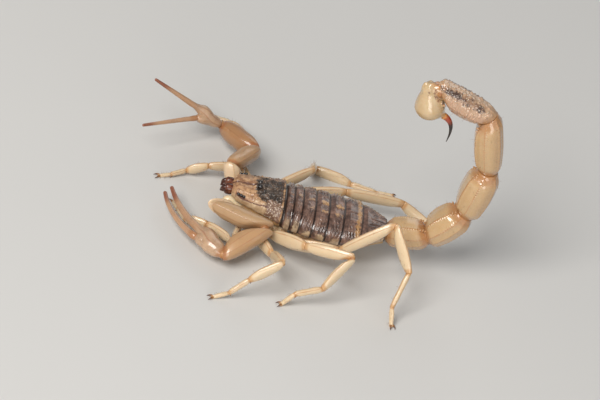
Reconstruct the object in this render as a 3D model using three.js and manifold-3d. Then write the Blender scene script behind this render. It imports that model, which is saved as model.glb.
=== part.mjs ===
// A life-size scorpion: it stands on eight legs with its tail raised in an arc over its back, its left
// pincer folded forward and its right pincer held out with the fingers open.
// Millimetres, +Z up. The head points along -X and the animal's left side along -Y.
import * as THREE from 'three';
import { mergeVertices } from 'three/addons/utils/BufferGeometryUtils.js';
import Module from 'manifold-3d';

const wasm = await Module();
wasm.setup();

// ---------------------------------------------------------------- driving dimensions
const GAP = 0.3; // clearance between neighbouring pieces
const SHARP_BEND = { from: 60, to: 130, slimming: 0.45 }; // joints bent this far have slimmer ends
const FLOOR_TIP = 0.13; // height of a leg tip's centre, so that its round end is cut flat by the floor

const CARAPACE_LENGTH = 6.8;
const CARAPACE_FRONT_HALF_WIDTH = 2.15;
const CARAPACE_REAR_HALF_WIDTH = 3.9;
const CARAPACE_FRONT_HEIGHT = 6.1;
const CARAPACE_REAR_HEIGHT = 6.25;
const CARAPACE_FRONT_MARGIN = 4.85;
const CARAPACE_REAR_MARGIN = 4.1;
const CARAPACE_NOSE = 0.35; // how far the middle of its front edge stands before the corners
const CARAPACE_ROUNDING = 0.5; // how far its top drops at the rounded front edge
const PLATE_THICKNESS = 0.5;
const HIP = { width: 0.66, height: 0.82, stations: [[0, 1.25, 1.1], [0.6, 1.1, 1], [1, 0.8, 0.8]] };
const ARM_HIP = { width: 1.2, height: 1.1, stations: [[0, 0.65, 0.9], [0.6, 0.75, 1], [1, 0.88, 0.88]] };
const HIP_START = { x: -0.8, y: 0.7, z: 2.2, share: 0.25 }; // where the leg hips grow from
const ARM_HIP_START = { x: -3.9, y: 0.9, z: 2.9 };
// The arm hip's lobe beside the jaws.
const CHEEK = {
  back: { x: -5.2, y: 1.7, z: 3.5 },
  front: { x: -7.75, y: 1.85, z: 4.1 },
  width: 0.65,
  height: 0.85,
  stations: [[0, 0.8, 0.9], [0.5, 1, 1], [1, 0.85, 0.8]],
};
const COMB = {
  start: { x: 3.1, y: 0.95 },
  end: { x: 5.9, y: 3.2 },
  z: 0.66,
  bar: { width: 0.38, height: 0.27, stations: [[0, 0.9, 1], [0.3, 1.1, 1], [1, 0.6, 0.9]] },
  tooth: { width: 0.13, height: 0.25, stations: [[0, 1, 1], [1, 0.95, 0.9]] },
  toothCount: 9,
  toothLength: 1.15,
};
// The breastplate's stations: x, half width, underside and top.
const CHEST = [
  [-5.7, 1.5, 2.2, 3.6],
  [-4.6, 2.1, 1.5, 3.8],
  [-2.5, 2.7, 1.25, 3.6],
  [0.2, 2.7, 1.2, 3.05],
  [1.5, 2.0, 1.3, 3.0],
  [1.9, 1.2, 1.6, 2.9],
];
const JAW = { back: -6.6, front: -7.9, y: 0.62, z: 5.0, radius: 0.47, height: 0.62, reach: 0.45 };
const TUBERCLE = { x: -3.4, z: 6.2, length: 1.7, width: 1.2, height: 0.72 };
const MEDIAN_EYE = { x: -3.55, y: 0.4, z: 6.46, radius: 0.32, gap: 0.12 };
const LATERAL_EYE = { x: -6.1, y: 1.98, z: 5.66, radius: 0.24, step: 0.36, spread: 0.12, count: 3 };

// Each trunk ring's length, half width at its hind edge, and height of its back there.
const TRUNK = [
  { length: 1.05, halfWidth: 3.95, top: 6.15 },
  { length: 1.2, halfWidth: 4.1, top: 6.05 },
  { length: 1.7, halfWidth: 4.25, top: 6 },
  { length: 1.85, halfWidth: 4.35, top: 5.95 },
  { length: 2.05, halfWidth: 4.3, top: 5.95 },
  { length: 2.45, halfWidth: 4.1, top: 5.8 },
  { length: 3.7, halfWidth: 1.75, top: 5.3 },
];
const BELLY_HEIGHT = 1.25;
const CHEST_CLEARANCE_HEIGHT = 3.35; // underside of the first two rings, over the hind hips
const TAIL_ROOT_UNDERSIDE = 3.1;
const PLATE_STEP = 0.14; // how far each back plate's hind edge stands over the next plate's front

// The tail's rings: pitch up from the rearward direction, length, half width and half height.
const TAIL_ROOT = new THREE.Vector3(14.05, 0, 4.3);
const TAIL = [
  { pitch: 14, length: 5.3, halfWidth: 2.1, halfHeight: 1.9, end: 0.66 },
  { pitch: 57, length: 6.2, halfWidth: 2.3, halfHeight: 2.1, end: 0.6 },
  { pitch: 86, length: 7.7, halfWidth: 2.25, halfHeight: 2.1, end: 0.6 },
  { pitch: 108.5, length: 8.75, halfWidth: 1.9, halfHeight: 1.85, end: 0.62 },
  { pitch: 163.5, length: 7.4, halfWidth: 1.7, halfHeight: 1.6, end: 0.7 },
];
// The venom bulb is an egg: a base and a wider globe, each placed from the tail's end.
const VESICLE = {
  pitch: 262,
  base: { back: -1.4, up: -0.25, radius: 1.32 },
  globe: { back: -0.5, up: -2.7, radius: 1.92 },
};
// The sting's start, the handle of its curve and its tip, each placed from the globe's middle.
const STING = {
  start: { back: 2.1, up: -1.0 },
  handle: { back: 4.1, up: -1.6 },
  end: { back: 3.8, up: -4.95 },
  root: 0.44,
  tip: 0.1,
};

// Legs: where each grows from the chest, and the lengths of trochanter, femur, patella, tibia,
// basitarsus and telotarsus. The left side is mirrored from these roots.
const LEG_ROOT = [
  { x: -4.4, y: 2.7, z: 2.7 },
  { x: -2.9, y: 3.0, z: 2.5 },
  { x: -1.2, y: 3.2, z: 2.4 },
  { x: 0.8, y: 3.2, z: 2.3 },
];
const LEG_LENGTHS = [
  [1.2, 3.2, 4.2, 3.0, 2.2, 1.6],
  [1.3, 5.0, 5.4, 4.6, 3.1, 2.2],
  [1.5, 5.8, 6.2, 5.4, 3.6, 2.3],
  [1.8, 7.0, 8.0, 6.2, 4.8, 2.5],
];
const LEG_SIZE = [0.85, 0.96, 1.06, 1.04];

// Pose of each leg's pieces as [heading, pitch] in degrees. Heading 0 points forward, 90 outward and
// 180 backward. The last piece's pitch follows from the height it has left to the floor.
const LEG_POSE = {
  left: [
    [[70, -18], [76, -4], [-36, -8], [-18, -17], [-60, -8], [-62, 0]],
    [[95, -29], [120, 11], [100, 33], [24, -36], [25, -44], [20, 0]],
    [[115, 10], [140, 26], [162, 15], [46, -46], [20, -15], [20, 0]],
    [[112, -3], [170, 17], [190, 44], [130, -38], [72, -51], [117, 0]],
  ],
  right: [
    [[56, -10], [79, 3], [-10, -8], [-12, -25], [-30, -10], [-20, 0]],
    [[52, -25], [70, -7], [103, -3], [46, -2], [12, -5], [45, 0]],
    [[100, 4], [144, 17.5], [101, -36], [188, -4], [185, -1], [172, 0]],
    [[120, 2], [168, 11], [172, -3], [189, -28], [118, -4], [112, 0]],
  ],
};

// Pincer arms: root, piece lengths, and pose as for the legs. The finger plane's roll is measured
// from outward, and the opening is the angle between the two fingers.
const ARM_ROOT = { x: -6.35, y: 2.5, z: 3.3 };
const ARM_LENGTHS = { trochanter: 2.4, femur: 6.4, patella: 6.6, palm: 4.7, finger: 7.9 };
const ARM_POSE = {
  left: { trochanter: [36, 25], femur: [162, 1], patella: [43, -19.6], palm: [-39, -2], roll: -8,
    opening: 4, swing: 0, bend: -32, fingerSize: 1 },
  right: { trochanter: [55, 45], femur: [118, -11], patella: [47, -10], palm: [-18, 26], roll: 232,
    opening: 34, swing: -6, bend: 0, fingerSize: 0.75 },
};

// ---------------------------------------------------------------- finishes
const finish = (color, roughness) => new THREE.MeshStandardMaterial({ color, roughness, metalness: 0 });
const FINISH = {
  back: finish(0x5a473e, 0.45),
  shield: finish(0x7a5a42, 0.5),
  belly: finish(0xc9ab7a, 0.55),
  leg: finish(0xd8b982, 0.5),
  arm: finish(0xc8935c, 0.45),
  tail: finish(0xcd9a62, 0.45),
  bulb: finish(0xe0b57c, 0.35),
  sting: finish(0x3a1710, 0.3),
  jaw: finish(0x6a2f1e, 0.35),
  eye: finish(0x0c0a0a, 0.12),
};

// ---------------------------------------------------------------- small helpers
const radians = THREE.MathUtils.degToRad;
const vec = (x, y, z) => new THREE.Vector3(x, y, z);
const lerp = THREE.MathUtils.lerp;
const UP = vec(0, 0, 1);

// The direction of a limb piece from its heading and pitch, on the side whose y sign is given.
function limbDirection([heading, pitch], side) {
  const h = radians(heading);
  const t = radians(pitch);
  return vec(-Math.cos(h) * Math.cos(t), side * Math.sin(h) * Math.cos(t), Math.sin(t));
}

// Closes a stack of rings, each the same number of points in the same turn, with a fan on each end.
function skinRings(rings, frontPoint = null, backPoint = null) {
  const sides = rings[0].length;
  const positions = rings.flat().flatMap((p) => [p.x, p.y, p.z]);
  const middle = (ring) => ring.reduce((sum, p) => sum.add(p), vec(0, 0, 0)).divideScalar(sides);
  const front = frontPoint ?? middle(rings[0]);
  const back = backPoint ?? middle(rings.at(-1));
  positions.push(front.x, front.y, front.z, back.x, back.y, back.z);
  const frontIndex = rings.length * sides;
  const index = [];
  for (let i = 0; i < rings.length - 1; i += 1) {
    for (let j = 0; j < sides; j += 1) {
      const a = i * sides + j;
      const b = i * sides + ((j + 1) % sides);
      index.push(a, b, a + sides, b, b + sides, a + sides);
    }
  }
  const last = (rings.length - 1) * sides;
  for (let j = 0; j < sides; j += 1) {
    const next = (j + 1) % sides;
    index.push(frontIndex, next, j, frontIndex + 1, last + j, last + next);
  }
  const geometry = new THREE.BufferGeometry();
  geometry.setAttribute('position', new THREE.Float32BufferAttribute(positions, 3));
  geometry.setIndex(index);
  return outward(geometry);
}

// Turns a closed geometry's faces outward when its signed volume is negative.
function outward(geometry) {
  const p = geometry.attributes.position;
  const index = Array.from(geometry.index.array);
  let volume = 0;
  for (let i = 0; i < index.length; i += 3) {
    const [a, b, c] = [0, 1, 2].map((k) => new THREE.Vector3().fromBufferAttribute(p, index[i + k]));
    volume += a.dot(b.cross(c));
  }
  if (volume < 0) {
    for (let i = 0; i < index.length; i += 3) {
      [index[i], index[i + 1]] = [index[i + 1], index[i]];
    }
    geometry.setIndex(index);
  }
  return geometry;
}

// A closed geometry as a solid for joining and cutting.
function toSolid(geometry) {
  const plain = geometry.clone();
  plain.deleteAttribute('normal');
  plain.deleteAttribute('uv');
  const merged = mergeVertices(plain, 1e-4);
  return new wasm.Manifold(new wasm.Mesh({
    numProp: 3,
    vertProperties: Float32Array.from(merged.attributes.position.array),
    triVerts: Uint32Array.from(merged.index.array),
  }));
}

// The largest closed surface of a solid, as a geometry.
function toGeometry(solid) {
  const parts = solid.decompose();
  const largest = parts.reduce((best, part) => (part.volume() > best.volume() ? part : best));
  const mesh = largest.getMesh();
  const geometry = new THREE.BufferGeometry();
  const positions = [];
  for (let i = 0; i < mesh.vertProperties.length; i += mesh.numProp) {
    positions.push(mesh.vertProperties[i], mesh.vertProperties[i + 1], mesh.vertProperties[i + 2]);
  }
  geometry.setAttribute('position', new THREE.Float32BufferAttribute(positions, 3));
  geometry.setIndex(Array.from(mesh.triVerts));
  return geometry;
}

function join(geometries) {
  return geometries.map(toSolid).reduce((sum, solid) => sum.add(solid));
}

function ball(centre, rx, ry, rz, columns = 10, rows = 6) {
  const geometry = new THREE.SphereGeometry(1, columns, rows);
  geometry.scale(rx, ry, rz);
  geometry.translate(centre.x, centre.y, centre.z);
  return geometry;
}

// ---------------------------------------------------------------- limbs
// Cross directions of a piece: "across" is level, "over" is square to both and points up or, where an
// across direction is given, follows it.
function crossFrame(direction, acrossHint = null) {
  const across = acrossHint ? acrossHint.clone() : vec(0, 0, 0).crossVectors(UP, direction);
  across.normalize();
  const over = vec(0, 0, 0).crossVectors(direction, across).normalize();
  return { direction, across, over };
}

// One closed body along a chain of joints. Each stretch has stations [t, width, height] along it, and
// its rings slide along the stretch so that its end rings lie in the planes that halve the bends, where
// it meets its neighbours face to face. before and after are the neighbours' directions, or null.
function chainBody({ points, stretches, before, after, sides, across, grow = 0, blunt = 0 }) {
  const directions = stretches.map((s, k) => points[k + 1].clone().sub(points[k]).normalize());
  const normals = points.map((p, k) => {
    const inward = k === 0 ? before : directions[k - 1];
    const onward = k === points.length - 1 ? after : directions[k];
    const normal = vec(0, 0, 0);
    if (inward) normal.add(inward);
    if (onward) normal.add(onward);
    return normal.normalize();
  });
  const slimming = points.map((p, k) => {
    const inward = k === 0 ? before : directions[k - 1];
    const onward = k === points.length - 1 ? after : directions[k];
    const bend = inward && onward ? THREE.MathUtils.radToDeg(inward.angleTo(onward)) : 0;
    return 1 - SHARP_BEND.slimming * THREE.MathUtils.smoothstep(bend, SHARP_BEND.from, SHARP_BEND.to);
  });
  const rings = [];
  stretches.forEach((stretch, k) => {
    const length = points[k].distanceTo(points[k + 1]);
    const frame = crossFrame(directions[k], across);
    const startGap = k > 0 ? 0 : before ? GAP / 2 - grow : -grow;
    const endGap = k < stretches.length - 1 ? 0 : after ? GAP / 2 - grow : -grow;
    const plane = (normal, shift, y, z) => {
      const lean = frame.across.clone().multiplyScalar(y).addScaledVector(frame.over, z);
      return (shift - normal.dot(lean)) / normal.dot(frame.direction);
    };
    stretch.stations.forEach(([t, w, h], i) => {
      if (k > 0 && i === 0) return;
      const slim = t === 0 ? slimming[k] : t === 1 ? slimming[k + 1] : 1;
      const ring = [];
      for (let j = 0; j < sides; j += 1) {
        const angle = (2 * Math.PI * (j + 0.5)) / sides;
        const y = (slim * w * stretch.width + grow) * Math.cos(angle);
        const z = (slim * h * stretch.height + grow) * Math.sin(angle);
        const start = plane(normals[k], startGap, y, z);
        const end = length + plane(normals[k + 1], -endGap, y, z);
        ring.push(points[k].clone()
          .addScaledVector(frame.direction, lerp(start, end, t))
          .addScaledVector(frame.across, y)
          .addScaledVector(frame.over, z));
      }
      rings.push(ring);
    });
  });
  const cap = blunt + grow;
  const firstPoint = before ? null : points[0].clone().addScaledVector(directions[0], -cap);
  const lastPoint = after ? null : points.at(-1).clone().addScaledVector(directions.at(-1), cap);
  return skinRings(rings, firstPoint, lastPoint);
}

// The joints of a chain from its root, its pieces' lengths and its directions.
function chainPoints(root, lengths, directions) {
  const points = [root.clone()];
  lengths.forEach((length, k) => {
    points.push(points[k].clone().addScaledVector(directions[k], length));
  });
  return points;
}

const LEG_PIECES = {
  trochanter: { width: 0.5, height: 0.62, stations: [[0, 0.9, 0.9], [0.5, 1, 1], [1, 0.85, 0.85]] },
  femur: {
    width: 0.5,
    height: 0.95,
    stations: [[0, 0.85, 0.62], [0.2, 1, 0.9], [0.55, 1, 1], [0.85, 0.95, 0.82], [1, 0.8, 0.55]],
  },
  patella: {
    width: 0.5,
    height: 0.86,
    stations: [[0, 0.8, 0.6], [0.2, 1, 0.9], [0.5, 1, 1], [0.85, 1, 0.82], [1, 0.8, 0.62]],
  },
  tibia: {
    width: 0.52,
    height: 0.9,
    stations: [[0, 0.85, 0.62], [0.2, 1, 0.82], [0.65, 1, 1], [0.9, 0.8, 0.72], [1, 0.7, 0.52]],
  },
  basitarsus: { width: 0.36, height: 0.42, stations: [[0, 1, 1], [0.5, 1, 1], [1, 0.82, 0.8]] },
  telotarsus: { width: 0.28, height: 0.32, stations: [[0, 1, 1], [0.5, 1, 1.05], [1, 0.9, 0.9]] },
};

function scaled(piece, size) {
  return { ...piece, width: piece.width * size, height: piece.height * size };
}

// A leg as three bodies: trochanter with femur, patella, and foot of tibia, basitarsus and telotarsus
// with its two claws, cut flat by the floor.
function legGeometries(side, number, pose) {
  const sideSign = side === 'left' ? -1 : 1;
  const root = LEG_ROOT[number];
  const lengths = LEG_LENGTHS[number];
  const size = LEG_SIZE[number];
  const directions = pose.map((angles) => limbDirection(angles, sideSign));
  const points = chainPoints(vec(root.x, sideSign * root.y, root.z), lengths.slice(0, 5), directions);
  const drop = (FLOOR_TIP - points[5].z) / lengths[5];
  const heading = pose[5][0];
  directions[5] = limbDirection([heading, THREE.MathUtils.radToDeg(Math.asin(drop))], sideSign);
  points.push(points[5].clone().addScaledVector(directions[5], lengths[5]));
  const piece = (name) => scaled(LEG_PIECES[name], size);
  const sides = 8;
  const hip = hipDirection(points[0]);
  const femur = chainBody({
    points: points.slice(0, 3),
    stretches: [piece('trochanter'), piece('femur')],
    before: hip,
    after: directions[2],
    sides,
  });
  const patella = chainBody({
    points: points.slice(2, 4),
    stretches: [piece('patella')],
    before: directions[1],
    after: directions[3],
    sides,
  });
  const foot = chainBody({
    points: points.slice(3, 7),
    stretches: [piece('tibia'), piece('basitarsus'), piece('telotarsus')],
    before: directions[2],
    after: null,
    sides,
    blunt: 0.12,
  });
  const claws = [-1, 1].map((turn) => {
    const level = vec(directions[5].x, directions[5].y, 0).normalize();
    const out = vec(0, 0, 0).crossVectors(UP, level).multiplyScalar(turn);
    const start = points[6].clone().addScaledVector(directions[5], -0.25);
    const tip = points[6].clone().addScaledVector(level, 0.62).addScaledVector(out, 0.34);
    tip.z = FLOOR_TIP;
    return chainBody({
      points: [start, tip],
      stretches: [{ width: 0.2, height: 0.2, stations: [[0, 1, 1], [0.6, 1, 1], [1, 0.4, 0.4]] }],
      before: null,
      after: null,
      sides: 6,
      blunt: 0.1,
    });
  });
  const whole = join([foot, ...claws]).trimByPlane([0, 0, 1], 0);
  return { femur, patella, foot: toGeometry(whole) };
}

// The outward direction of a hip, level from the chest's middle line.
function hipDirection(root) {
  return vec(root.x * 0.12, root.y, -0.1).normalize();
}

const ARM_SIDES = 12;
const ARM_PIECES = {
  trochanter: { width: 1.15, height: 1.1, stations: [[0, 0.8, 0.8], [0.5, 1, 1], [1, 0.85, 0.85]] },
  femur: {
    width: 1.15,
    height: 1.2,
    stations: [[0, 0.55, 0.65], [0.15, 0.85, 0.9], [0.5, 1, 1], [0.85, 0.95, 0.95], [1, 0.62, 0.7]],
  },
  patella: {
    width: 1.35,
    height: 1.3,
    stations: [[0, 0.55, 0.62], [0.15, 0.85, 0.88], [0.45, 1, 1], [0.82, 0.86, 0.88], [1, 0.55, 0.58]],
  },
};
// The palm's width is square to the plane of the fingers and its height lies in that plane.
const PALM = {
  width: 1.12,
  height: 1.35,
  stations: [[0, 0.5, 0.45], [0.12, 0.78, 0.7], [0.38, 1, 0.95], [0.7, 0.98, 1], [0.9, 0.8, 0.85],
    [1, 0.5, 0.62]],
};
const FINGER = { width: 0.46, height: 0.44, tipWidth: 0.22, tipHeight: 0.25 };
// Where each finger's path starts, along the palm's axis and across it from the palm's end.
const FINGER_ROOT = {
  fixed: { along: -0.9, side: -0.55, scale: 1.3 },
  moving: { along: -0.35, side: 0.72, scale: 1 },
};

// The path of a finger: from its root beside the palm's end, in the plane of the axis and the open side,
// swung by an angle and bent by a further angle from root to tip.
function fingerPath(root, axis, openSide, swing, bend, length, steps) {
  const points = [root.clone()];
  for (let i = 0; i < steps; i += 1) {
    const turn = radians(swing + (bend * (i + 0.5)) / steps);
    const step = axis.clone().multiplyScalar(Math.cos(turn)).addScaledVector(openSide, Math.sin(turn));
    points.push(points[i].clone().addScaledVector(step, length / steps));
  }
  return points;
}

function fingerGeometry(path, frameAcross, scale, rootScale, grow = 0) {
  const steps = path.length - 1;
  const stretches = [];
  for (let i = 0; i < steps; i += 1) {
    const from = i / steps;
    const to = (i + 1) / steps;
    const size = (t) => [
      lerp(rootScale, FINGER.tipWidth / FINGER.width, t),
      lerp(rootScale, FINGER.tipHeight / FINGER.height, t),
    ];
    stretches.push({
      width: FINGER.width * scale,
      height: FINGER.height * scale,
      stations: [[0, ...size(from)], [1, ...size(to)]],
    });
  }
  return chainBody({
    points: path,
    stretches,
    before: null,
    after: null,
    sides: 8,
    across: frameAcross,
    grow,
    blunt: 0.2,
  });
}

const ARM_NAMES = ['trochanter', 'femur', 'patella', 'palm'];

// An arm's joints from the hip to the palm's end, and its pieces' directions.
function armChain(side) {
  const sideSign = side === 'left' ? -1 : 1;
  const directions = ARM_NAMES.map((name) => limbDirection(ARM_POSE[side][name], sideSign));
  const root = vec(ARM_ROOT.x, sideSign * ARM_ROOT.y, ARM_ROOT.z);
  const points = chainPoints(root, ARM_NAMES.map((name) => ARM_LENGTHS[name]), directions);
  return { sideSign, directions, points };
}

// The arm's trochanter, femur or patella.
function armPieceGeometry(side, k, grow = 0) {
  const { sideSign, directions, points } = armChain(side);
  return chainBody({
    points: points.slice(k, k + 2),
    stretches: [ARM_PIECES[ARM_NAMES[k]]],
    before: k === 0 ? armHipDirection(sideSign) : directions[k - 1],
    after: directions[k + 1],
    sides: ARM_SIDES,
    grow,
  });
}

function armGeometries(side) {
  const pose = ARM_POSE[side];
  const { sideSign, directions, points } = armChain(side);
  const axis = directions[3];
  const level = vec(0, 0, 0).crossVectors(axis, UP).normalize().multiplyScalar(sideSign);
  const lift = vec(0, 0, 0).crossVectors(level, axis).multiplyScalar(sideSign).normalize();
  const roll = radians(pose.roll);
  const openSide = level.clone().multiplyScalar(Math.cos(roll)).addScaledVector(lift, Math.sin(roll));
  const across = vec(0, 0, 0).crossVectors(axis, openSide).normalize();
  const palm = chainBody({
    points: points.slice(3, 5),
    stretches: [PALM],
    before: directions[2],
    after: null,
    sides: ARM_SIDES,
    across,
    blunt: 0.3,
  });
  const path = ({ along, side: offset }, swing, bend) => {
    const from = points[4].clone().addScaledVector(axis, along).addScaledVector(openSide, offset);
    return fingerPath(from, axis, openSide, swing, bend, ARM_LENGTHS.finger - along, 4);
  };
  const { fixed, moving } = FINGER_ROOT;
  const fixedPath = path(fixed, pose.swing, pose.bend);
  const movingPath = path(moving, pose.swing + pose.opening, pose.bend * 1.3);
  const fixedFinger = fingerGeometry(fixedPath, across, pose.fingerSize, fixed.scale);
  const movingFinger = fingerGeometry(movingPath, across, pose.fingerSize, moving.scale);
  const clearance = fingerGeometry(movingPath, across, pose.fingerSize, moving.scale, GAP);
  const hand = join([palm, fixedFinger]).subtract(toSolid(clearance));
  return {
    trochanter: armPieceGeometry(side, 0),
    femur: armPieceGeometry(side, 1),
    patella: armPieceGeometry(side, 2),
    hand: toGeometry(hand),
    finger: movingFinger,
  };
}

function armHipDirection(sideSign) {
  return vec(-0.9, sideSign * 0.42, 0.1).normalize();
}

// ---------------------------------------------------------------- trunk
// The station of the trunk at x: half width, height of the back, margin of the back plates, belly.
const TRUNK_EDGES = [0];
TRUNK.forEach((ring, k) => TRUNK_EDGES.push(TRUNK_EDGES[k] + ring.length));
const TRUNK_LENGTH = TRUNK_EDGES.at(-1);

function trunkStation(x) {
  const first = { halfWidth: CARAPACE_REAR_HALF_WIDTH - 0.1, top: CARAPACE_REAR_HEIGHT };
  const knots = [first, ...TRUNK];
  let k = 0;
  while (k < TRUNK.length - 1 && x > TRUNK_EDGES[k + 1]) k += 1;
  const t = (x - TRUNK_EDGES[k]) / TRUNK[k].length;
  const halfWidth = lerp(knots[k].halfWidth, knots[k + 1].halfWidth, t);
  const top = lerp(knots[k].top, knots[k + 1].top, t);
  const tail = THREE.MathUtils.smoothstep(x, TRUNK_EDGES[5], TRUNK_LENGTH);
  const belly = lerp(BELLY_HEIGHT, TAIL_ROOT_UNDERSIDE, tail);
  const margin = lerp(3.6, 4.2, tail);
  return { halfWidth, top, margin, belly };
}

// A ring across the trunk: the back plate's arch from side to side, raised by lift, then the soft
// flank tucked in under its margin, and the flat belly plate.
function trunkRing(x, lift, floor = null) {
  const { halfWidth, top, margin, belly } = trunkStation(x);
  const under = floor ?? belly;
  const ring = [];
  const arch = 10;
  for (let i = 0; i <= arch; i += 1) {
    const angle = (Math.PI * i) / arch;
    const y = (halfWidth + lift * 0.5) * Math.cos(angle);
    const keel = i === arch / 2 ? 0.08 : 0;
    ring.push(vec(x, y, margin + (top + lift + keel - margin) * Math.sin(angle) ** 0.8));
  }
  const flank = Math.max(under + 0.25, margin - 0.5);
  ring.push(vec(x, -halfWidth * 0.93, flank));
  const bellyPoints = 6;
  for (let i = 0; i <= bellyPoints; i += 1) {
    const y = lerp(-0.86, 0.86, i / bellyPoints) * halfWidth;
    const round = Math.abs(2 * (i / bellyPoints) - 1) ** 4;
    ring.push(vec(x, y, under + (flank - under) * 0.75 * round));
  }
  ring.push(vec(x, halfWidth * 0.93, flank));
  return ring;
}

function trunkGeometry(k) {
  const from = TRUNK_EDGES[k] + GAP / 2;
  const to = TRUNK_EDGES[k + 1] - GAP / 2;
  const floor = k < 2 ? CHEST_CLEARANCE_HEIGHT : null;
  const stations = [
    [0, -PLATE_STEP],
    [0.35, -PLATE_STEP * 0.3],
    [0.8, PLATE_STEP],
    [1, PLATE_STEP * 0.4],
  ];
  return skinRings(stations.map(([t, lift]) => trunkRing(lerp(from, to, t), lift, floor)));
}

// The head shield: a domed plate that widens backwards, with the eye hill on its crest and the small
// side eyes at its front corners.
function carapaceRing(x, grow) {
  const t = THREE.MathUtils.clamp((x + CARAPACE_LENGTH) / CARAPACE_LENGTH, 0, 1);
  const edge = 1 - THREE.MathUtils.smoothstep(t, 0, 0.1);
  const halfWidth = lerp(CARAPACE_FRONT_HALF_WIDTH, CARAPACE_REAR_HALF_WIDTH, t ** 0.9) + grow - 0.15 * edge;
  const crest = lerp(CARAPACE_FRONT_HEIGHT, CARAPACE_REAR_HEIGHT, Math.sin((t * Math.PI) / 2));
  const top = crest + grow - CARAPACE_ROUNDING * edge;
  const margin = lerp(CARAPACE_FRONT_MARGIN, CARAPACE_REAR_MARGIN, t) - grow;
  const ring = [];
  const arch = 12;
  const nose = (y) => -CARAPACE_NOSE * (1 - (y / halfWidth) ** 2) * (1 - t) ** 2;
  for (let i = 0; i <= arch; i += 1) {
    const angle = (Math.PI * i) / arch;
    const furrow = i === arch / 2 && (t > 0.65 || t < 0.35) ? 0.1 : 0;
    const y = halfWidth * Math.cos(angle);
    ring.push(vec(x + nose(y), y, margin + (top - furrow - margin) * Math.sin(angle) ** 0.7));
  }
  for (const side of [-1, -0.4, 0.4, 1]) {
    const hollow = Math.abs(side) < 1 ? 0.2 : 0;
    const y = side * (halfWidth - 0.25);
    ring.push(vec(x + nose(y), y, margin - PLATE_THICKNESS + hollow - grow));
  }
  return ring;
}

function carapaceShell(grow = 0) {
  const from = -CARAPACE_LENGTH - grow;
  const to = -GAP / 2 + grow;
  const stations = [0, 0.04, 0.12, 0.3, 0.42, 0.55, 0.75, 0.93, 1];
  return skinRings(stations.map((t) => carapaceRing(lerp(from, to, t), grow)));
}

function carapaceGeometry() {
  const hill = ball(vec(TUBERCLE.x, 0, TUBERCLE.z), TUBERCLE.length / 2, TUBERCLE.width / 2,
    TUBERCLE.height / 2, 12, 8);
  const bumps = [];
  for (const side of [-1, 1]) {
    for (let i = 0; i < LATERAL_EYE.count; i += 1) {
      const x = LATERAL_EYE.x + i * LATERAL_EYE.step;
      const y = side * (LATERAL_EYE.y + i * LATERAL_EYE.spread);
      const { z, radius } = LATERAL_EYE;
      bumps.push(ball(vec(x, y, z), radius, radius, radius, 8, 6));
    }
  }
  let shell = join([carapaceShell(), hill, ...bumps]);
  for (const side of [-1, 1]) {
    const socket = MEDIAN_EYE.radius + MEDIAN_EYE.gap;
    const centre = vec(MEDIAN_EYE.x, side * MEDIAN_EYE.y, MEDIAN_EYE.z);
    shell = shell.subtract(toSolid(ball(centre, socket, socket, socket)));
  }
  return toGeometry(shell);
}

// The chest under the shield: a breastplate with a hip for each leg and each pincer arm.
function chestGeometry() {
  const rings = CHEST.map(([x, halfWidth, low, high]) => {
    const ring = [];
    const count = 12;
    for (let j = 0; j < count; j += 1) {
      const angle = (2 * Math.PI * (j + 0.5)) / count;
      const round = (value) => Math.sign(value) * Math.abs(value) ** 0.6;
      const y = halfWidth * round(Math.cos(angle));
      ring.push(vec(x, y, (low + high) / 2 + ((high - low) / 2) * round(Math.sin(angle))));
    }
    return ring;
  });
  const hip = (start, end, piece, inward, onward, sides) => chainBody({
    points: [start, end],
    stretches: [piece],
    before: null,
    after: hipAfter(end.clone().sub(start).normalize(), inward, onward),
    sides,
  });
  const hips = [];
  for (const [side, sideSign] of [['left', -1], ['right', 1]]) {
    LEG_ROOT.forEach((root, number) => {
      const end = vec(root.x, sideSign * root.y, root.z);
      const start = vec(lerp(root.x, HIP_START.x, HIP_START.share), sideSign * HIP_START.y, HIP_START.z);
      const onward = limbDirection(LEG_POSE[side][number][0], sideSign);
      hips.push(hip(start, end, scaled(HIP, LEG_SIZE[number]), hipDirection(end), onward, 8));
    });
    const armEnd = vec(ARM_ROOT.x, sideSign * ARM_ROOT.y, ARM_ROOT.z);
    const armStart = vec(ARM_HIP_START.x, sideSign * ARM_HIP_START.y, ARM_HIP_START.z);
    const onward = limbDirection(ARM_POSE[side].trochanter, sideSign);
    hips.push(hip(armStart, armEnd, ARM_HIP, armHipDirection(sideSign), onward, 10));
    const ends = [CHEEK.back, CHEEK.front].map(({ x, y, z }) => vec(x, sideSign * y, z));
    hips.push(chainBody({
      points: ends,
      stretches: [CHEEK],
      before: null,
      after: null,
      sides: 10,
      blunt: 0.2,
    }));
  }
  const chest = join([skinRings(rings), ...hips]).subtract(toSolid(carapaceShell(GAP)));
  const limbs = ['left', 'right'].map((side) => toSolid(armPieceGeometry(side, 0, GAP)));
  return toGeometry(limbs.reduce((rest, limb) => rest.subtract(limb), chest));
}

// The direction that makes a hip's end plane the one that its limb starts from.
function hipAfter(own, inward, onward) {
  const normal = inward.clone().add(onward).normalize();
  return normal.multiplyScalar(2 * own.dot(normal)).sub(own).normalize();
}

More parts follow.
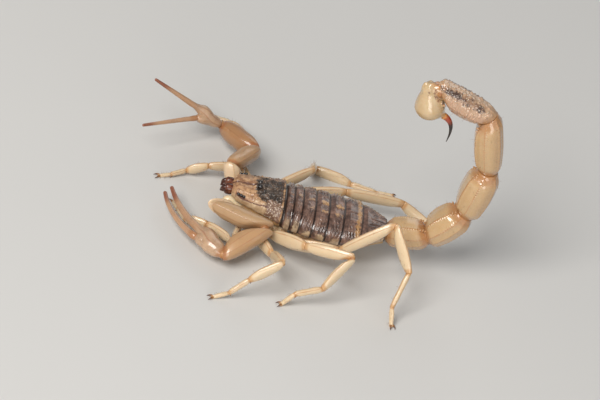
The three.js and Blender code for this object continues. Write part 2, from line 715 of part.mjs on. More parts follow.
// A comb under the belly: a bar with a row of teeth on its hind edge.
function combGeometry(sideSign) {
  const start = vec(COMB.start.x, sideSign * COMB.start.y, COMB.z);
  const end = vec(COMB.end.x, sideSign * COMB.end.y, COMB.z);
  const plain = { before: null, after: null };
  const bar = chainBody({ points: [start, end], stretches: [COMB.bar], ...plain, sides: 8, blunt: 0.1 });
  const along = end.clone().sub(start).normalize();
  const hind = vec(Math.abs(along.y), -sideSign * along.x, 0);
  const teeth = [];
  for (let i = 0; i < COMB.toothCount; i += 1) {
    const foot = start.clone().lerp(end, (i + 0.6) / (COMB.toothCount + 0.2));
    const tip = foot.clone().addScaledVector(hind, COMB.toothLength);
    teeth.push(chainBody({ points: [foot, tip], stretches: [COMB.tooth], ...plain, sides: 6, blunt: 0.06 }));
  }
  return toGeometry(join([bar, ...teeth]));
}

// A jaw: a short stout hand in front of the shield, with two closed hooked fingers.
function jawGeometry(sideSign) {
  const { y, radius, height, back, front, z, reach } = JAW;
  const hand = chainBody({
    points: [vec(back, sideSign * y, z), vec(front, sideSign * y, z - 0.1)],
    stretches: [{ width: radius, height, stations: [[0, 0.9, 0.9], [0.5, 1, 1], [1, 0.8, 0.78]] }],
    before: null,
    after: null,
    sides: 10,
    blunt: 0.12,
  });
  const fingers = [[0.14, 0.3], [-0.12, -0.3]].map(([out, rise]) => chainBody({
    points: [
      vec(front + 0.2, sideSign * (y + out), z + rise),
      vec(front - reach * 0.6, sideSign * (y + out), z - 0.15 + rise),
      vec(front - reach, sideSign * (y - 0.06), z - 0.45 + rise * 0.6),
    ],
    stretches: [
      { width: 0.27, height: 0.27, stations: [[0, 1, 1], [1, 0.9, 0.9]] },
      { width: 0.27, height: 0.27, stations: [[0, 0.9, 0.9], [1, 0.4, 0.4]] },
    ],
    before: null,
    after: null,
    sides: 6,
    blunt: 0.06,
  }));
  return toGeometry(join([hand, ...fingers]).subtract(toSolid(carapaceShell(1.5 * GAP))));
}

// ---------------------------------------------------------------- tail
const TAIL_SIDES = 12;
const tailDirection = (pitch) => vec(Math.cos(radians(pitch)), 0, Math.sin(radians(pitch)));
const TAIL_DIRECTIONS = TAIL.map((ring) => tailDirection(ring.pitch));
const TAIL_POINTS = chainPoints(TAIL_ROOT, TAIL.map((ring) => ring.length), TAIL_DIRECTIONS);

// A tail ring's stations: egg-shaped along its length, with ends of the given share of its size.
const tailStations = (end) => [
  [0, end],
  [0.1, lerp(end, 1, 0.55)],
  [0.32, 0.98],
  [0.62, 1],
  [0.86, lerp(end, 1, 0.68)],
  [1, end],
].map(([t, size]) => [t, size, size]);

function tailGeometry(k, grow = 0) {
  const ring = TAIL[k];
  return chainBody({
    points: TAIL_POINTS.slice(k, k + 2),
    stretches: [{ width: ring.halfWidth, height: ring.halfHeight, stations: tailStations(ring.end) }],
    before: k === 0 ? vec(1, 0, 0) : TAIL_DIRECTIONS[k - 1],
    after: TAIL_DIRECTIONS[k + 1] ?? tailDirection(VESICLE.pitch),
    sides: TAIL_SIDES,
    across: vec(0, 1, 0),
    grow,
  });
}

const shifted = (point, { back, up }) => point.clone().add(vec(back, 0, up));
const VESICLE_BASE = shifted(TAIL_POINTS.at(-1), VESICLE.base);
const VESICLE_CENTRE = shifted(TAIL_POINTS.at(-1), VESICLE.globe);

// The sting's curve leaves the bulb under the arc of the tail and hooks down.
const STING_CURVE = new THREE.QuadraticBezierCurve3(
  shifted(VESICLE_CENTRE, STING.start),
  shifted(VESICLE_CENTRE, STING.handle),
  shifted(VESICLE_CENTRE, STING.end),
);

function stingGeometry() {
  const steps = 6;
  const size = (i) => lerp(STING.root, STING.tip, (i / steps) ** 1.1);
  const stretches = [];
  for (let i = 0; i < steps; i += 1) {
    const stations = [[0, size(i), size(i)], [1, size(i + 1), size(i + 1)]];
    stretches.push({ width: 1, height: 1, stations });
  }
  return chainBody({
    points: STING_CURVE.getPoints(steps),
    stretches,
    before: STING_CURVE.getTangent(0),
    after: null,
    sides: 8,
    across: vec(0, 1, 0),
    blunt: 0.1,
  });
}

// The venom bulb: an egg, a stalk to the tail's last ring, and a neck where the sting starts.
function vesicleGeometry() {
  const { base, globe } = VESICLE;
  const middle = ball(VESICLE_CENTRE, globe.radius, globe.radius, globe.radius, 16, 10);
  const top = ball(VESICLE_BASE, base.radius, base.radius, base.radius, 16, 10);
  const round = (from, to, start, end) => chainBody({
    points: [from, to],
    stretches: [{ width: 1, height: 1, stations: [[0, start, start], [1, end, end]] }],
    before: null,
    after: null,
    sides: 16,
    across: vec(0, 1, 0),
  });
  const waist = round(VESICLE_BASE, VESICLE_CENTRE, base.radius, globe.radius);
  const stalk = round(TAIL_POINTS.at(-1), VESICLE_BASE.clone().lerp(VESICLE_CENTRE, 0.3), 1.1, 1.3);
  const outwards = STING_CURVE.getTangent(0);
  const neck = chainBody({
    points: [VESICLE_CENTRE, STING_CURVE.getPoint(0)],
    stretches: [{
      width: STING.root,
      height: STING.root,
      stations: [[0, 3.2, 3.2], [0.75, 1.7, 1.7], [1, 1, 1]],
    }],
    before: null,
    after: outwards,
    sides: 10,
    across: vec(0, 1, 0),
  });
  const lastRing = toSolid(tailGeometry(TAIL.length - 1, GAP));
  return toGeometry(join([middle, top, waist, stalk, neck]).subtract(lastRing));
}

// ---------------------------------------------------------------- assembly
const scorpion = new THREE.Group();

function place(name, geometry, material) {
  const mesh = new THREE.Mesh(geometry, material);
  mesh.name = name;
  scorpion.add(mesh);
  return mesh;
}

place('carapace', carapaceGeometry(), FINISH.shield);
place('coxosternum', chestGeometry(), FINISH.belly);
TRUNK.forEach((ring, k) => place(`mesosoma_${k + 1}`, trunkGeometry(k), FINISH.back));
TAIL.forEach((ring, k) => place(`metasoma_${k + 1}`, tailGeometry(k), FINISH.tail));
place('vesicle', vesicleGeometry(), FINISH.bulb);
place('aculeus', stingGeometry(), FINISH.sting);

for (const [side, sideSign] of [['left', -1], ['right', 1]]) {
  const eye = new THREE.SphereGeometry(MEDIAN_EYE.radius, 10, 8);
  const eyeMesh = place(`median_eye_${side}`, eye, FINISH.eye);
  eyeMesh.position.set(MEDIAN_EYE.x, sideSign * MEDIAN_EYE.y, MEDIAN_EYE.z);
  place(`chelicera_${side}`, jawGeometry(sideSign), FINISH.jaw);
  place(`pectine_${side}`, combGeometry(sideSign), FINISH.belly);

  const arm = armGeometries(side);
  for (const [piece, geometry] of Object.entries(arm)) {
    place(`pedipalp_${side}_${piece}`, geometry, FINISH.arm);
  }
  LEG_POSE[side].forEach((pose, number) => {
    const leg = legGeometries(side, number, pose);
    for (const [piece, geometry] of Object.entries(leg)) {
      place(`leg_${side}_${number + 1}_${piece}`, geometry, FINISH.leg);
    }
  });
}

// The origin is on the floor, under the middle of the whole animal.
const bounds = new THREE.Box3().setFromObject(scorpion);
const middle = bounds.getCenter(new THREE.Vector3());
scorpion.position.set(-middle.x, -middle.y, -bounds.min.z);

export default scorpion;
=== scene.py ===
"""Dresses the still, life-size scorpion: every plate, limb, tail ring and eye as a fine surface.

Sizes are in millimetres in the maker's own frame, with the head towards -X, the animal's left side
towards -Y and the hind edge of the head shield at x = 0. put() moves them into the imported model's frame.
"""

import math

import bpy
import numpy as np
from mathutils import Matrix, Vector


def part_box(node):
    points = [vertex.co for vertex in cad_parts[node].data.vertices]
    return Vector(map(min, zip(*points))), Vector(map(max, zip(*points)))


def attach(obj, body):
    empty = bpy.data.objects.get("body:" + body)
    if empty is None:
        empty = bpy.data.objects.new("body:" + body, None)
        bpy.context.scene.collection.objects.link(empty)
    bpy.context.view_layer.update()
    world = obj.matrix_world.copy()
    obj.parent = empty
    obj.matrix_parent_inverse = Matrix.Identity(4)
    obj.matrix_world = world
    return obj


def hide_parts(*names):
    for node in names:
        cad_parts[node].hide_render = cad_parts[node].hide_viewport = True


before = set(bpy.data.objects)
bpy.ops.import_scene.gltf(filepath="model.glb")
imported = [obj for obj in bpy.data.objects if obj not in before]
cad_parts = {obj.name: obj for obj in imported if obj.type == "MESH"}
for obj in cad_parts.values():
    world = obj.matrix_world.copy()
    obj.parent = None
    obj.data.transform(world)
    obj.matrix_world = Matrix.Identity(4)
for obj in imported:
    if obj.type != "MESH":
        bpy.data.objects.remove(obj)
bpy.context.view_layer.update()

bl_info = {
    "name": "Scorpion Dresser",
    "version": (1, 0, 0),
    "blender": (4, 5, 0),
    "location": "View3D > Sidebar > Scorpion",
    "description": "Builds the surfaces, finishes and stage of a still, life-size scorpion",
    "category": "Object",
}

MM = 0.001
SHIELD_LOW, SHIELD_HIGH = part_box("carapace")
GAP = 0.3
ORIGIN = np.array([SHIELD_HIGH.x + GAP / 2 * MM, (SHIELD_LOW.y + SHIELD_HIGH.y) / 2, 0.0])

# ------------------------------------------------------------------ the animal's own sizes, in mm

CARAPACE_LENGTH = 6.8
SHIELD_NOSE = 0.35
SHIELD_ROUNDING = 0.5
TRUNK_LENGTHS = (1.05, 1.2, 1.7, 1.85, 2.05, 2.45, 3.7)
TRUNK_HALF_WIDTHS = (3.8, 3.95, 4.1, 4.25, 4.35, 4.3, 4.1, 1.75)
TRUNK_TOPS = (6.25, 6.15, 6.05, 6.0, 5.95, 5.95, 5.8, 5.3)
EDGES = np.concatenate([[0.0], np.cumsum(TRUNK_LENGTHS)])
BELLY_HEIGHT = 1.25
TAIL_ROOT_UNDERSIDE = 3.1

TAIL_ROOT = (14.05, 0.0, 4.3)
TAIL_PITCHES = (14, 57, 86, 108.5, 163.5)
TAIL_LENGTHS = (5.3, 6.2, 7.7, 8.75, 7.4)
TAIL_HALF_WIDTHS = (2.1, 2.3, 2.25, 1.9, 1.7)
TAIL_HALF_HEIGHTS = (1.9, 2.1, 2.1, 1.85, 1.6)
TAIL_ENDS = (0.66, 0.6, 0.6, 0.62, 0.7)
VESICLE_PITCH = 262
VESICLE_BASE = (-1.4, 0.0, -0.25)
VESICLE_BASE_RADIUS = 1.32
VESICLE_GLOBE = (-0.5, 0.0, -2.7)
VESICLE_GLOBE_RADIUS = 1.92
HALVINGS = 26
STING_START = (2.1, 0.0, -1.0)
STING_HANDLE = (4.1, 0.0, -1.6)
STING_END = (3.8, 0.0, -4.95)
STING_RADII = (0.46, 0.045)

LEG_ROOTS = ((-4.4, 2.7, 2.7), (-2.9, 3.0, 2.5), (-1.2, 3.2, 2.4), (0.8, 3.2, 2.3))
LEG_LENGTHS = (
    (1.2, 3.2, 4.2, 3.0, 2.2, 1.6),
    (1.3, 5.0, 5.4, 4.6, 3.1, 2.2),
    (1.5, 5.8, 6.2, 5.4, 3.6, 2.3),
    (1.8, 7.0, 8.0, 6.2, 4.8, 2.5),
)
LEG_SIZES = (0.85, 0.96, 1.06, 1.04)
FLOOR_TIP = 0.13
LEG_POSES = {
    "left": (
        ((70, -18), (76, -4), (-36, -8), (-18, -17), (-60, -8), (-62, 0)),
        ((95, -29), (120, 11), (100, 33), (24, -36), (25, -44), (20, 0)),
        ((115, 10), (140, 26), (162, 15), (46, -46), (20, -15), (20, 0)),
        ((112, -3), (170, 17), (190, 44), (130, -38), (72, -51), (117, 0)),
    ),
    "right": (
        ((56, -10), (79, 3), (-10, -8), (-12, -25), (-30, -10), (-20, 0)),
        ((52, -25), (70, -7), (103, -3), (46, -2), (12, -5), (45, 0)),
        ((100, 4), (144, 17.5), (101, -36), (188, -4), (185, -1), (172, 0)),
        ((120, 2), (168, 11), (172, -3), (189, -28), (118, -4), (112, 0)),
    ),
}
ARM_ROOT = (-6.35, 2.5, 3.3)
ARM_LENGTHS = (2.4, 6.4, 6.6, 4.7)
FINGER_LENGTH = 7.9
FIXED_ROOT = (-0.9, -0.55, 1.3)
MOVING_ROOT = (-0.35, 0.72, 1.0)
ARM_POSES = {
    "left": {
        "pieces": ((36, 25), (162, 1), (43, -19.6), (-39, -2)),
        "roll": -8, "opening": 4, "swing": 0, "bend": -32, "finger": 1.0, "palm": 1.0,
    },
    "right": {
        "pieces": ((55, 45), (118, -11), (47, -10), (-18, 26)),
        "roll": 232, "opening": 34, "swing": -6, "bend": 0, "finger": 0.75, "palm": 0.64,
    },
}
SIDES = (("left", -1), ("right", 1))
UP = np.array([0.0, 0.0, 1.0])
ACROSS_TAIL = np.array([0.0, 1.0, 0.0])
SEEDS = {
    "shield": 11, "shield front": 17, "back plates": 30, "stain": 57, "pits": 71, "nubs": 73,
    "leg bristles": 100, "arm bristles": 300, "tail bristles": 400,
}


# ------------------------------------------------------------------ numbers and curves


def unit(vector):
    """The vector over its own length."""
    vector = np.asarray(vector, float)
    return vector / np.linalg.norm(vector)


def units(rows):
    """Each row over its own length."""
    return rows / np.linalg.norm(rows, axis=1)[:, None]


def heading_direction(heading, pitch, sign):
    """A limb piece's direction: -cos h cos p along X, sign sin h cos p along Y and sin p up."""
    h, p = math.radians(heading), math.radians(pitch)
    return np.array([-math.cos(h) * math.cos(p), sign * math.sin(h) * math.cos(p), math.sin(p)])


def tail_direction(pitch):
    """A tail ring's direction in the animal's middle plane: cos p backwards and sin p up."""
    p = math.radians(pitch)
    return np.array([math.cos(p), 0.0, math.sin(p)])


def chain(root, lengths, directions):
    """Joints one after another: each is the last plus length times direction."""
    joints = [np.asarray(root, float)]
    for length, direction in zip(lengths, directions):
        joints.append(joints[-1] + length * direction)
    return joints


def smooth(x, low, high):
    """Rises from 0 at low to 1 at high along 3t^2 - 2t^3."""
    t = np.clip((np.asarray(x, float) - low) / (high - low), 0, 1)
    return t * t * (3 - 2 * t)


def bell(x, middle, width):
    """A bump of height 1: exp(-((x - middle) / width)^2)."""
    return np.exp(-(((np.asarray(x, float) - middle) / width) ** 2))


def through(stations, t):
    """A smooth curve through (t, value) stations: cubic Hermite pieces with averaged slopes."""
    knots, values = np.array(stations, float).T
    slopes = np.gradient(values, knots)
    t = np.clip(np.asarray(t, float), knots[0], knots[-1])
    k = np.clip(np.searchsorted(knots, t, side="right") - 1, 0, len(knots) - 2)
    span = knots[k + 1] - knots[k]
    f = (t - knots[k]) / span
    return (
        (2 * f**3 - 3 * f**2 + 1) * values[k]
        + (f**3 - 2 * f**2 + f) * span * slopes[k]
        + (-2 * f**3 + 3 * f**2) * values[k + 1]
        + (f**3 - f**2) * span * slopes[k + 1]
    )


def rolled(edge, radius):
    """How far a rolled edge has dropped at a distance from it: a quarter circle of the radius."""
    return radius * (1 - np.sqrt(np.clip(1 - (1 - np.clip(edge / radius, 0, 1)) ** 2, 0, 1)))


def turns(count):
    """Angles evenly round a circle."""
    return np.linspace(0, 2 * math.pi, count, endpoint=False)


def off_angle(q, angle):
    """How far q is from the angle, the short way round."""
    return np.abs((q - angle + math.pi) % (2 * math.pi) - math.pi)


def squarish(q, across_power, over_power=None):
    """cos q and sin q with their sizes raised to powers: squarer than a circle below 1."""
    powers = (across_power, over_power or across_power)
    return (np.sign(wave) * np.abs(wave) ** power for wave, power in zip((np.cos(q), np.sin(q)), powers))


def taper(root, tip, power, count):
    """Radii along a pointed tube: root (1 - t^power) + tip."""
    return root * (1 - np.linspace(0, 1, count) ** power) + tip


def surface_points(x, y, z):
    """Surface points from x by rows, or by rows and columns, and y and z by rows and columns."""
    x = x if np.ndim(x) == 2 else x[:, None]
    return np.stack([np.broadcast_to(x, y.shape), y, z], -1)


def bezier(start, handle, end, count):
    """A quadratic curve: (1-t)^2 start + 2t(1-t) handle + t^2 end."""
    t = np.linspace(0, 1, count)[:, None]
    return (1 - t) ** 2 * start + 2 * t * (1 - t) * handle + t**2 * end


def grains(u, v, seed, count, low, high, size, height):
    """Small round bumps: the sum over seeded points of height exp(-distance^2 / size^2)."""
    spots = np.random.default_rng(seed).uniform(low, high, (count, 2))
    heights = np.random.default_rng(seed + 1).uniform(0.5, 1.0, count) * height
    total = np.zeros(u.shape)
    for (a, b), h in zip(spots, heights):
        total += h * np.exp(-((u - a) ** 2 + (v - b) ** 2) / size**2)
    return total


# ------------------------------------------------------------------ shells and pieces


class Shell:
    """Closed surfaces: vertex array, quads, triangles, and named values for each vertex."""

    def __init__(self, points, quads, triangles, values):
        self.points, self.quads, self.triangles, self.values = points, quads, triangles, values
        if self.volume() < 0:
            self.quads, self.triangles = self.quads[:, ::-1], self.triangles[:, ::-1]

    def volume(self):
        """Six times the enclosed volume, signed, from the triple product of each triangle."""
        flat = np.vstack([self.triangles, self.quads[:, [0, 1, 2]], self.quads[:, [0, 2, 3]]])
        a, b, c = (self.points[flat[:, k]] - self.points[0] for k in range(3))
        return float(np.einsum("ij,ij->i", a, np.cross(b, c)).sum())


def ring_shell(rings, values, front=None, back=None):
    """Joins rings (rows, columns, 3) round and along, and closes each end with a fan to a pole."""
    rows, columns, _ = rings.shape
    front = rings[0].mean(0) if front is None else front
    back = rings[-1].mean(0) if back is None else back
    points = np.vstack([rings.reshape(-1, 3), front, back])
    i, j = np.meshgrid(np.arange(rows - 1), np.arange(columns), indexing="ij")
    a = i * columns + j
    b = i * columns + (j + 1) % columns
    quads = np.stack([a, b, b + columns, a + columns], -1).reshape(-1, 4)
    j = np.arange(columns)
    k = (j + 1) % columns
    last = (rows - 1) * columns
    first_fan = np.stack([np.full(columns, rows * columns), k, j], -1)
    last_fan = np.stack([np.full(columns, rows * columns + 1), last + j, last + k], -1)
    full = {}
    for name, value in values.items():
        grid = np.broadcast_to(value, (rows, columns)).astype(float)
        full[name] = np.concatenate([grid.ravel(), [grid[0].mean(), grid[-1].mean()]])
    return Shell(points, quads, np.vstack([first_fan, last_fan]), full)


VALUE_NAMES = ("along", "tone", "mark", "keel", "stain")


def put(points):
    """Maker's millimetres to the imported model's metres."""
    return points * MM + ORIGIN


def make_piece(name, shells, material, nodes=()):
    """One mesh object from shells, with its values as attributes, riding on the still body."""
    counts = np.cumsum([0] + [len(shell.points) for shell in shells])
    points = put(np.vstack([shell.points for shell in shells]))
    quads = np.vstack([shell.quads + start for shell, start in zip(shells, counts)])
    triangles = np.vstack([shell.triangles + start for shell, start in zip(shells, counts)])
    corners = np.concatenate([quads.ravel(), triangles.ravel()]).astype(np.int32)
    quad_starts = np.arange(len(quads)) * 4
    triangle_starts = quads.size + np.arange(len(triangles)) * 3
    mesh = bpy.data.meshes.new(name)
    mesh.vertices.add(len(points))
    mesh.vertices.foreach_set("co", points.astype(np.float32).ravel())
    mesh.loops.add(len(corners))
    mesh.loops.foreach_set("vertex_index", corners)
    mesh.polygons.add(len(quads) + len(triangles))
    mesh.polygons.foreach_set("loop_start", np.concatenate([quad_starts, triangle_starts]).astype(np.int32))
    mesh.update(calc_edges=True)
    mesh.validate()
    for value in VALUE_NAMES:
        layer = mesh.attributes.new(value, "FLOAT", "POINT")
        data = np.concatenate([s.values.get(value, np.zeros(len(s.points))) for s in shells])
        layer.data.foreach_set("value", data.astype(np.float32))
    mesh.shade_smooth()
    mesh.materials.append(material)
    piece = bpy.data.objects.new(name, mesh)
    bpy.context.scene.collection.objects.link(piece)
    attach(piece, "root")
    if nodes:
        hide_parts(*nodes)


def cross_frame(direction, across=None):
    """Across is level, or as given, and over completes the right-handed square with the direction."""
    across = unit(np.cross(UP, direction) if across is None else across)
    return across, unit(np.cross(direction, across))


def bend_normal(before, after):
    """The plane that halves a bend is square to the sum of the two directions."""
    return unit(np.sum([part for part in (before, after) if part is not None], axis=0))


def slimming(before, after):
    """Sharply bent joints have slimmer ends: 1 below 60 degrees, 0.55 from 130 degrees."""
    if before is None or after is None:
        return 1.0
    bend = math.degrees(math.acos(float(np.clip(np.dot(before, after), -1, 1))))
    return 1 - 0.45 * float(smooth(bend, 60, 130))


def limb_style(width, height, wide, high=None, **more):
    """Half width and half height of a limb piece, their profiles along it, and its keels and other
    settings. Without a profile of its own the height takes the width's.
    """
    return {"width": width, "height": height, "wide": wide, "high": high or wide, **more}


def limb_piece(start, end, before, after, style, size=1.0, across=None, gap=0.06, rows=56, columns=40):
    """A limb piece between two joints. At share t and angle q the surface point is the axis at t plus
    width(t) cos q across and height(t) sin q over. Keels raise the radius by bells of q, beaded along t.
    Each ring leans by share t between the two planes that halve the bends, and both ends close in a
    shallow dome.
    """
    direction = unit(end - start)
    length = float(np.linalg.norm(end - start))
    across, over = cross_frame(direction, across)
    dome = np.array([0.0, 0.35, 0.7, 0.92])
    body = np.linspace(0, 1, rows)
    t = np.concatenate([np.zeros(4), body, np.ones(4)])
    shrink = np.concatenate([dome, np.ones(rows), dome[::-1]])
    q = turns(columns)
    width = style["width"] * size * through(style["wide"], t)
    height = style["height"] * size * through(style["high"], t)
    slim = 1 + (slimming(before, direction) - 1) * (1 - smooth(t, 0, 0.14))
    slim = slim + (slimming(direction, after) - 1) * smooth(t, 0.86, 1)
    width, height = width * slim * shrink, height * slim * shrink
    cos_q, sin_q = squarish(q, style.get("square", 1.0))
    keel, swell, stain = np.zeros((3, len(t), columns))
    fade = (smooth(t, 0.02, 0.12) * (1 - smooth(t, 0.93, 0.995)))[:, None]
    for angle, spread, rise, beads in style.get("keels", ()):
        ridge = bell(off_angle(q, math.radians(angle)), 0, math.radians(spread)) * fade
        bead = 1 - 0.45 * (0.5 + 0.5 * np.cos(2 * math.pi * beads * t))[:, None] if beads else 1.0
        keel = np.maximum(keel, ridge ** style.get("sharp", 1))
        swell = swell + rise * ridge * bead
    if style.get("stain"):
        stain = style["stain"](t, q)
        place = (t[:, None] * length + 0 * stain, q + 0 * stain)
        swell = swell + grains(*place, SEEDS["stain"], 420, (0.6, 2.4), (length, 7.0), 0.085, 0.06) * fade
    y = width[:, None] * cos_q * (1 + swell)
    z = height[:, None] * sin_q * (1 + swell)
    n0, n1 = bend_normal(before, direction), bend_normal(direction, after)
    g0, g1 = (0.0 if other is None else gap / 2 for other in (before, after))
    lean0 = (g0 - y * np.dot(n0, across) - z * np.dot(n0, over)) / np.dot(n0, direction)
    lean1 = length + (-g1 - y * np.dot(n1, across) - z * np.dot(n1, over)) / np.dot(n1, direction)
    x = lean0 * (1 - t[:, None]) + lean1 * t[:, None]
    bulge = style.get("dome", 0.12) * size
    x = x + ((1 - shrink**2) * np.where(t < 0.5, -1, 1) * bulge)[:, None]
    rings = start + x[..., None] * direction + y[..., None] * across + z[..., None] * over
    marks = style.get("marks", (0.86, 0.97, 0.03, 0.12))
    mark = (smooth(t, *marks[:2]) + 1 - smooth(t, *marks[2:]))[:, None]
    # tone runs from 0 on the lower side to 1 on the upper side; on tail rings the finish paints shade where
    # it is low.
    tone = np.sin(q)[None, :] * 0.5 + 0.5
    return ring_shell(rings, {"along": t[:, None], "tone": tone, "keel": keel, "mark": mark, "stain": stain})


def path_tube(points, radii_across, radii_over, across, values=None, columns=24, relief=0.0):
    """A tube round a path: at each path point, ra cos q across and rb sin q over, times 1 + relief, with
    over square to the path's own direction, and the ends closed at their middles.
    """
    tangent = units(np.gradient(points, axis=0))
    over = units(np.cross(tangent, across))
    side = np.cross(over, tangent)
    q = turns(columns)
    y = (radii_across[:, None] * np.cos(q) * (1 + relief))[..., None]
    z = (radii_over[:, None] * np.sin(q) * (1 + relief))[..., None]
    rings = points[:, None] + y * side[:, None] + z * over[:, None]
    poles = (None, None) if np.ndim(relief) else (points[0], points[-1])
    return ring_shell(rings, {"along": np.linspace(0, 1, len(points))[:, None], **(values or {})}, *poles)


def rounded(count, cap):
    """Shares 0 to 1 along a tube and a radius factor that rounds both its ends like a quarter circle."""
    t = (1 - np.cos(np.linspace(0, math.pi, count))) / 2
    ends = np.sqrt(np.clip(1 - (1 - np.clip(np.minimum(t, 1 - t) / cap, 0, 1)) ** 2, 1e-4, 1))
    return t, ends


def ball(centre, radii, rows, columns):
    """A globe: the centre plus radii times (cos a, sin a cos q, sin a sin q), in the model's axes."""
    a = np.linspace(0.06, math.pi - 0.06, rows)
    q = turns(columns)
    globe = surface_points(np.cos(a), np.sin(a)[:, None] * np.cos(q), np.sin(a)[:, None] * np.sin(q))
    centre, radii = np.asarray(centre, float), np.asarray(radii, float)
    pole = np.array([radii[0], 0, 0])
    values = {"along": np.linspace(0, 1, rows)[:, None]}
    return ring_shell(centre + globe * radii, values, centre + pole, centre - pole)


# ------------------------------------------------------------------ shader maths


class Value:
    """One output of a shader node; sums, differences and products of it add their Math nodes."""

    def __init__(self, graph, socket):
        self.graph, self.socket = graph, socket

    def _math(self, operation, first, second):
        return self.graph.node("ShaderNodeMath", {"operation": operation}, {0: first, 1: second})

    def __add__(self, other):
        return self._math("ADD", self, other)

    def __radd__(self, other):
        return self._math("ADD", other, self)

    def __sub__(self, other):
        return self._math("SUBTRACT", self, other)

    def __rsub__(self, other):
        return self._math("SUBTRACT", other, self)

    def __mul__(self, other):
        return self._math("MULTIPLY", self, other)

    def __rmul__(self, other):
        return self._math("MULTIPLY", other, self)

    def rise(self, low, high):
        """0 below low, 1 above high, smooth between."""
        ends = {"Value": self, "From Min": low, "From Max": high}
        return self.graph.node("ShaderNodeMapRange", {"interpolation_type": "SMOOTHSTEP"}, ends)

    def broken(self, noise, share, low, high):
        """A rise whose edge is broken up by a share of a noise."""
        return (self + (noise - 0.5) * share).rise(low, high)


class Graph:
    """A material's nodes, with one method that adds any node."""

    def __init__(self, name):
        self.material = bpy.data.materials.new(name)
        self.material.use_nodes = True
        self.tree = self.material.node_tree
        self.tree.nodes.clear()
        self.place = self.node("ShaderNodeTexCoord", output="Object")

    def node(self, kind, settings=None, values=None, output=0):
        """Adds a node, sets its settings, then gives its sockets values or links."""
        made = self.tree.nodes.new(kind)
        for key, setting in (settings or {}).items():
            setattr(made, key, setting)
        for key, value in (values or {}).items():
            if isinstance(value, Value):
                self.tree.links.new(value.socket, made.inputs[key])
            else:
                made.inputs[key].default_value = value
        return Value(self, made.outputs[output]) if made.outputs else None

    def attributes(self, *names):
        return [self.node("ShaderNodeAttribute", {"attribute_name": name}, output="Fac") for name in names]

    def noise(self, scale, detail, roughness):
        values = {"Vector": self.place, "Scale": scale, "Detail": detail, "Roughness": roughness}
        return self.node("ShaderNodeTexNoise", None, values)

    def cells(self, scale):
        return self.node("ShaderNodeTexVoronoi", None, {"Vector": self.place, "Scale": scale}, "Distance")

    def mix(self, share, first, second):
        """A colour between two colours."""
        first, second = (c if isinstance(c, Value) else (*c, 1.0) for c in (first, second))
        return self.node("ShaderNodeMix", {"data_type": "RGBA"}, {0: share, 6: first, 7: second}, 2)

    def surface(self, color, roughness, bump=None, coat=0.0, coat_roughness=0.15, depth=0.0):
        """The cuticle's shader: colour, roughness, a clear waxy coat and a little light within. The bump is
        a height, its depth in millimetres and its strength.
        """
        values = {
            "Base Color": color, "Roughness": roughness,
            "Coat Weight": coat, "Coat Roughness": coat_roughness,
            "Subsurface Weight": depth, "Subsurface Scale": 0.4 * MM, "Subsurface Radius": (1.0, 0.5, 0.25),
        }
        if bump:
            sockets = {"Height": bump[0], "Distance": bump[1] * MM, "Strength": bump[2]}
            values["Normal"] = self.node("ShaderNodeBump", None, sockets)
        shader = self.node("ShaderNodeBsdfPrincipled", None, values)
        self.node("ShaderNodeOutputMaterial", None, {"Surface": shader})
        return self.material


def horn_material(
    name, pale, deep, keel_color, roughness=0.36, grain=9000, fleck=0.25, knee=0.8, coat=0.3, under=None
):
    """Cuticle of limbs and tail: pale between joints, deep at the joints, darker on the keels, with a
    soft mottle, fine grains and small pits. Stained parts are dark with bright specks. The lower side is
    mixed a little towards pale, or more towards a given underside colour: on tail rings one to four that
    colour is painted shade on their outer side, on the last ring it is the ring's own pinkish underside.
    """
    g = Graph(name)
    mottle, fine, blotch = g.noise(900, 4, 0.6), g.noise(grain, 2, 0.5), g.noise(2300, 3, 0.65)
    mark, keel, tone, stain = g.attributes("mark", "keel", "tone", "stain")
    stained, bead = stain.rise(0.0, 0.3), g.cells(4300)
    color = g.mix((mark * knee).broken(mottle, fleck, 0.05, 1.0), pale, deep)
    color = g.mix((keel * 0.75).broken(mottle, 0.5, 0.25, 0.95), color, keel_color)
    color = g.mix(((fine - 0.5) * 1.4 + 0.5).rise(0.3, 0.8) * 0.16, color, deep)
    # The lower side, where tone is low, goes 0.12 of the way to pale, or 0.4 of the way to the underside
    # colour: painted shade on tail rings one to four, the own pinkish tint on the last ring.
    color = g.mix((1 - tone).rise(0.45, 1.0) * (0.4 if under else 0.12), color, under or pale)
    dirt = g.mix(mottle.rise(0.42, 0.6), (0.09, 0.05, 0.035), (0.32, 0.19, 0.12))
    color = g.mix(stain.broken(blotch, 2.0, 0.4, 0.9) * stained, color, dirt)
    speck = (1 - bead.rise(0.15, 0.35)) * blotch.rise(0.42, 0.52) * stained
    color = g.mix(speck, color, (0.85, 0.76, 0.64))
    rough = (fine - 0.5) * 0.16 + roughness + (mottle - 0.5) * 0.12
    height = fine * 0.5 + g.cells(grain * 0.6).rise(0.05, 0.45) * 0.5
    return g.surface(color, rough, (height, 0.012, 0.3), coat, 0.1, 0.12)


def hand_material(name, pale):
    """Hands and fingers: reddish brown and glossy, darker keels, and dark red finger tips where the tone
    attribute rises.
    """
    g = Graph(name)
    mottle, fine = g.noise(800, 4, 0.6), g.noise(8000, 2, 0.5)
    mark, keel, tip = g.attributes("mark", "keel", "tone")
    color = g.mix((mottle - 0.5 + fine * 0.3).rise(-0.1, 0.3), pale, (0.52, 0.34, 0.21))
    color = g.mix(mark.broken(mottle, 0.6, 0.1, 1.0) * 0.8, color, (0.38, 0.16, 0.06))
    color = g.mix(keel.broken(mottle, 0.5, 0.3, 1.0) * 0.55, color, (0.32, 0.11, 0.05))
    color = g.mix(tip.rise(0.0, 1.0) * 0.85, color, (0.22, 0.055, 0.025))
    rough = (fine - 0.5) * 0.14 + 0.29 + (mottle - 0.5) * 0.1
    height = fine * 0.6 + g.cells(5000).rise(0.05, 0.45) * 0.4
    return g.surface(color, rough, (height, 0.012, 0.3), 0.7, 0.1, 0.1)


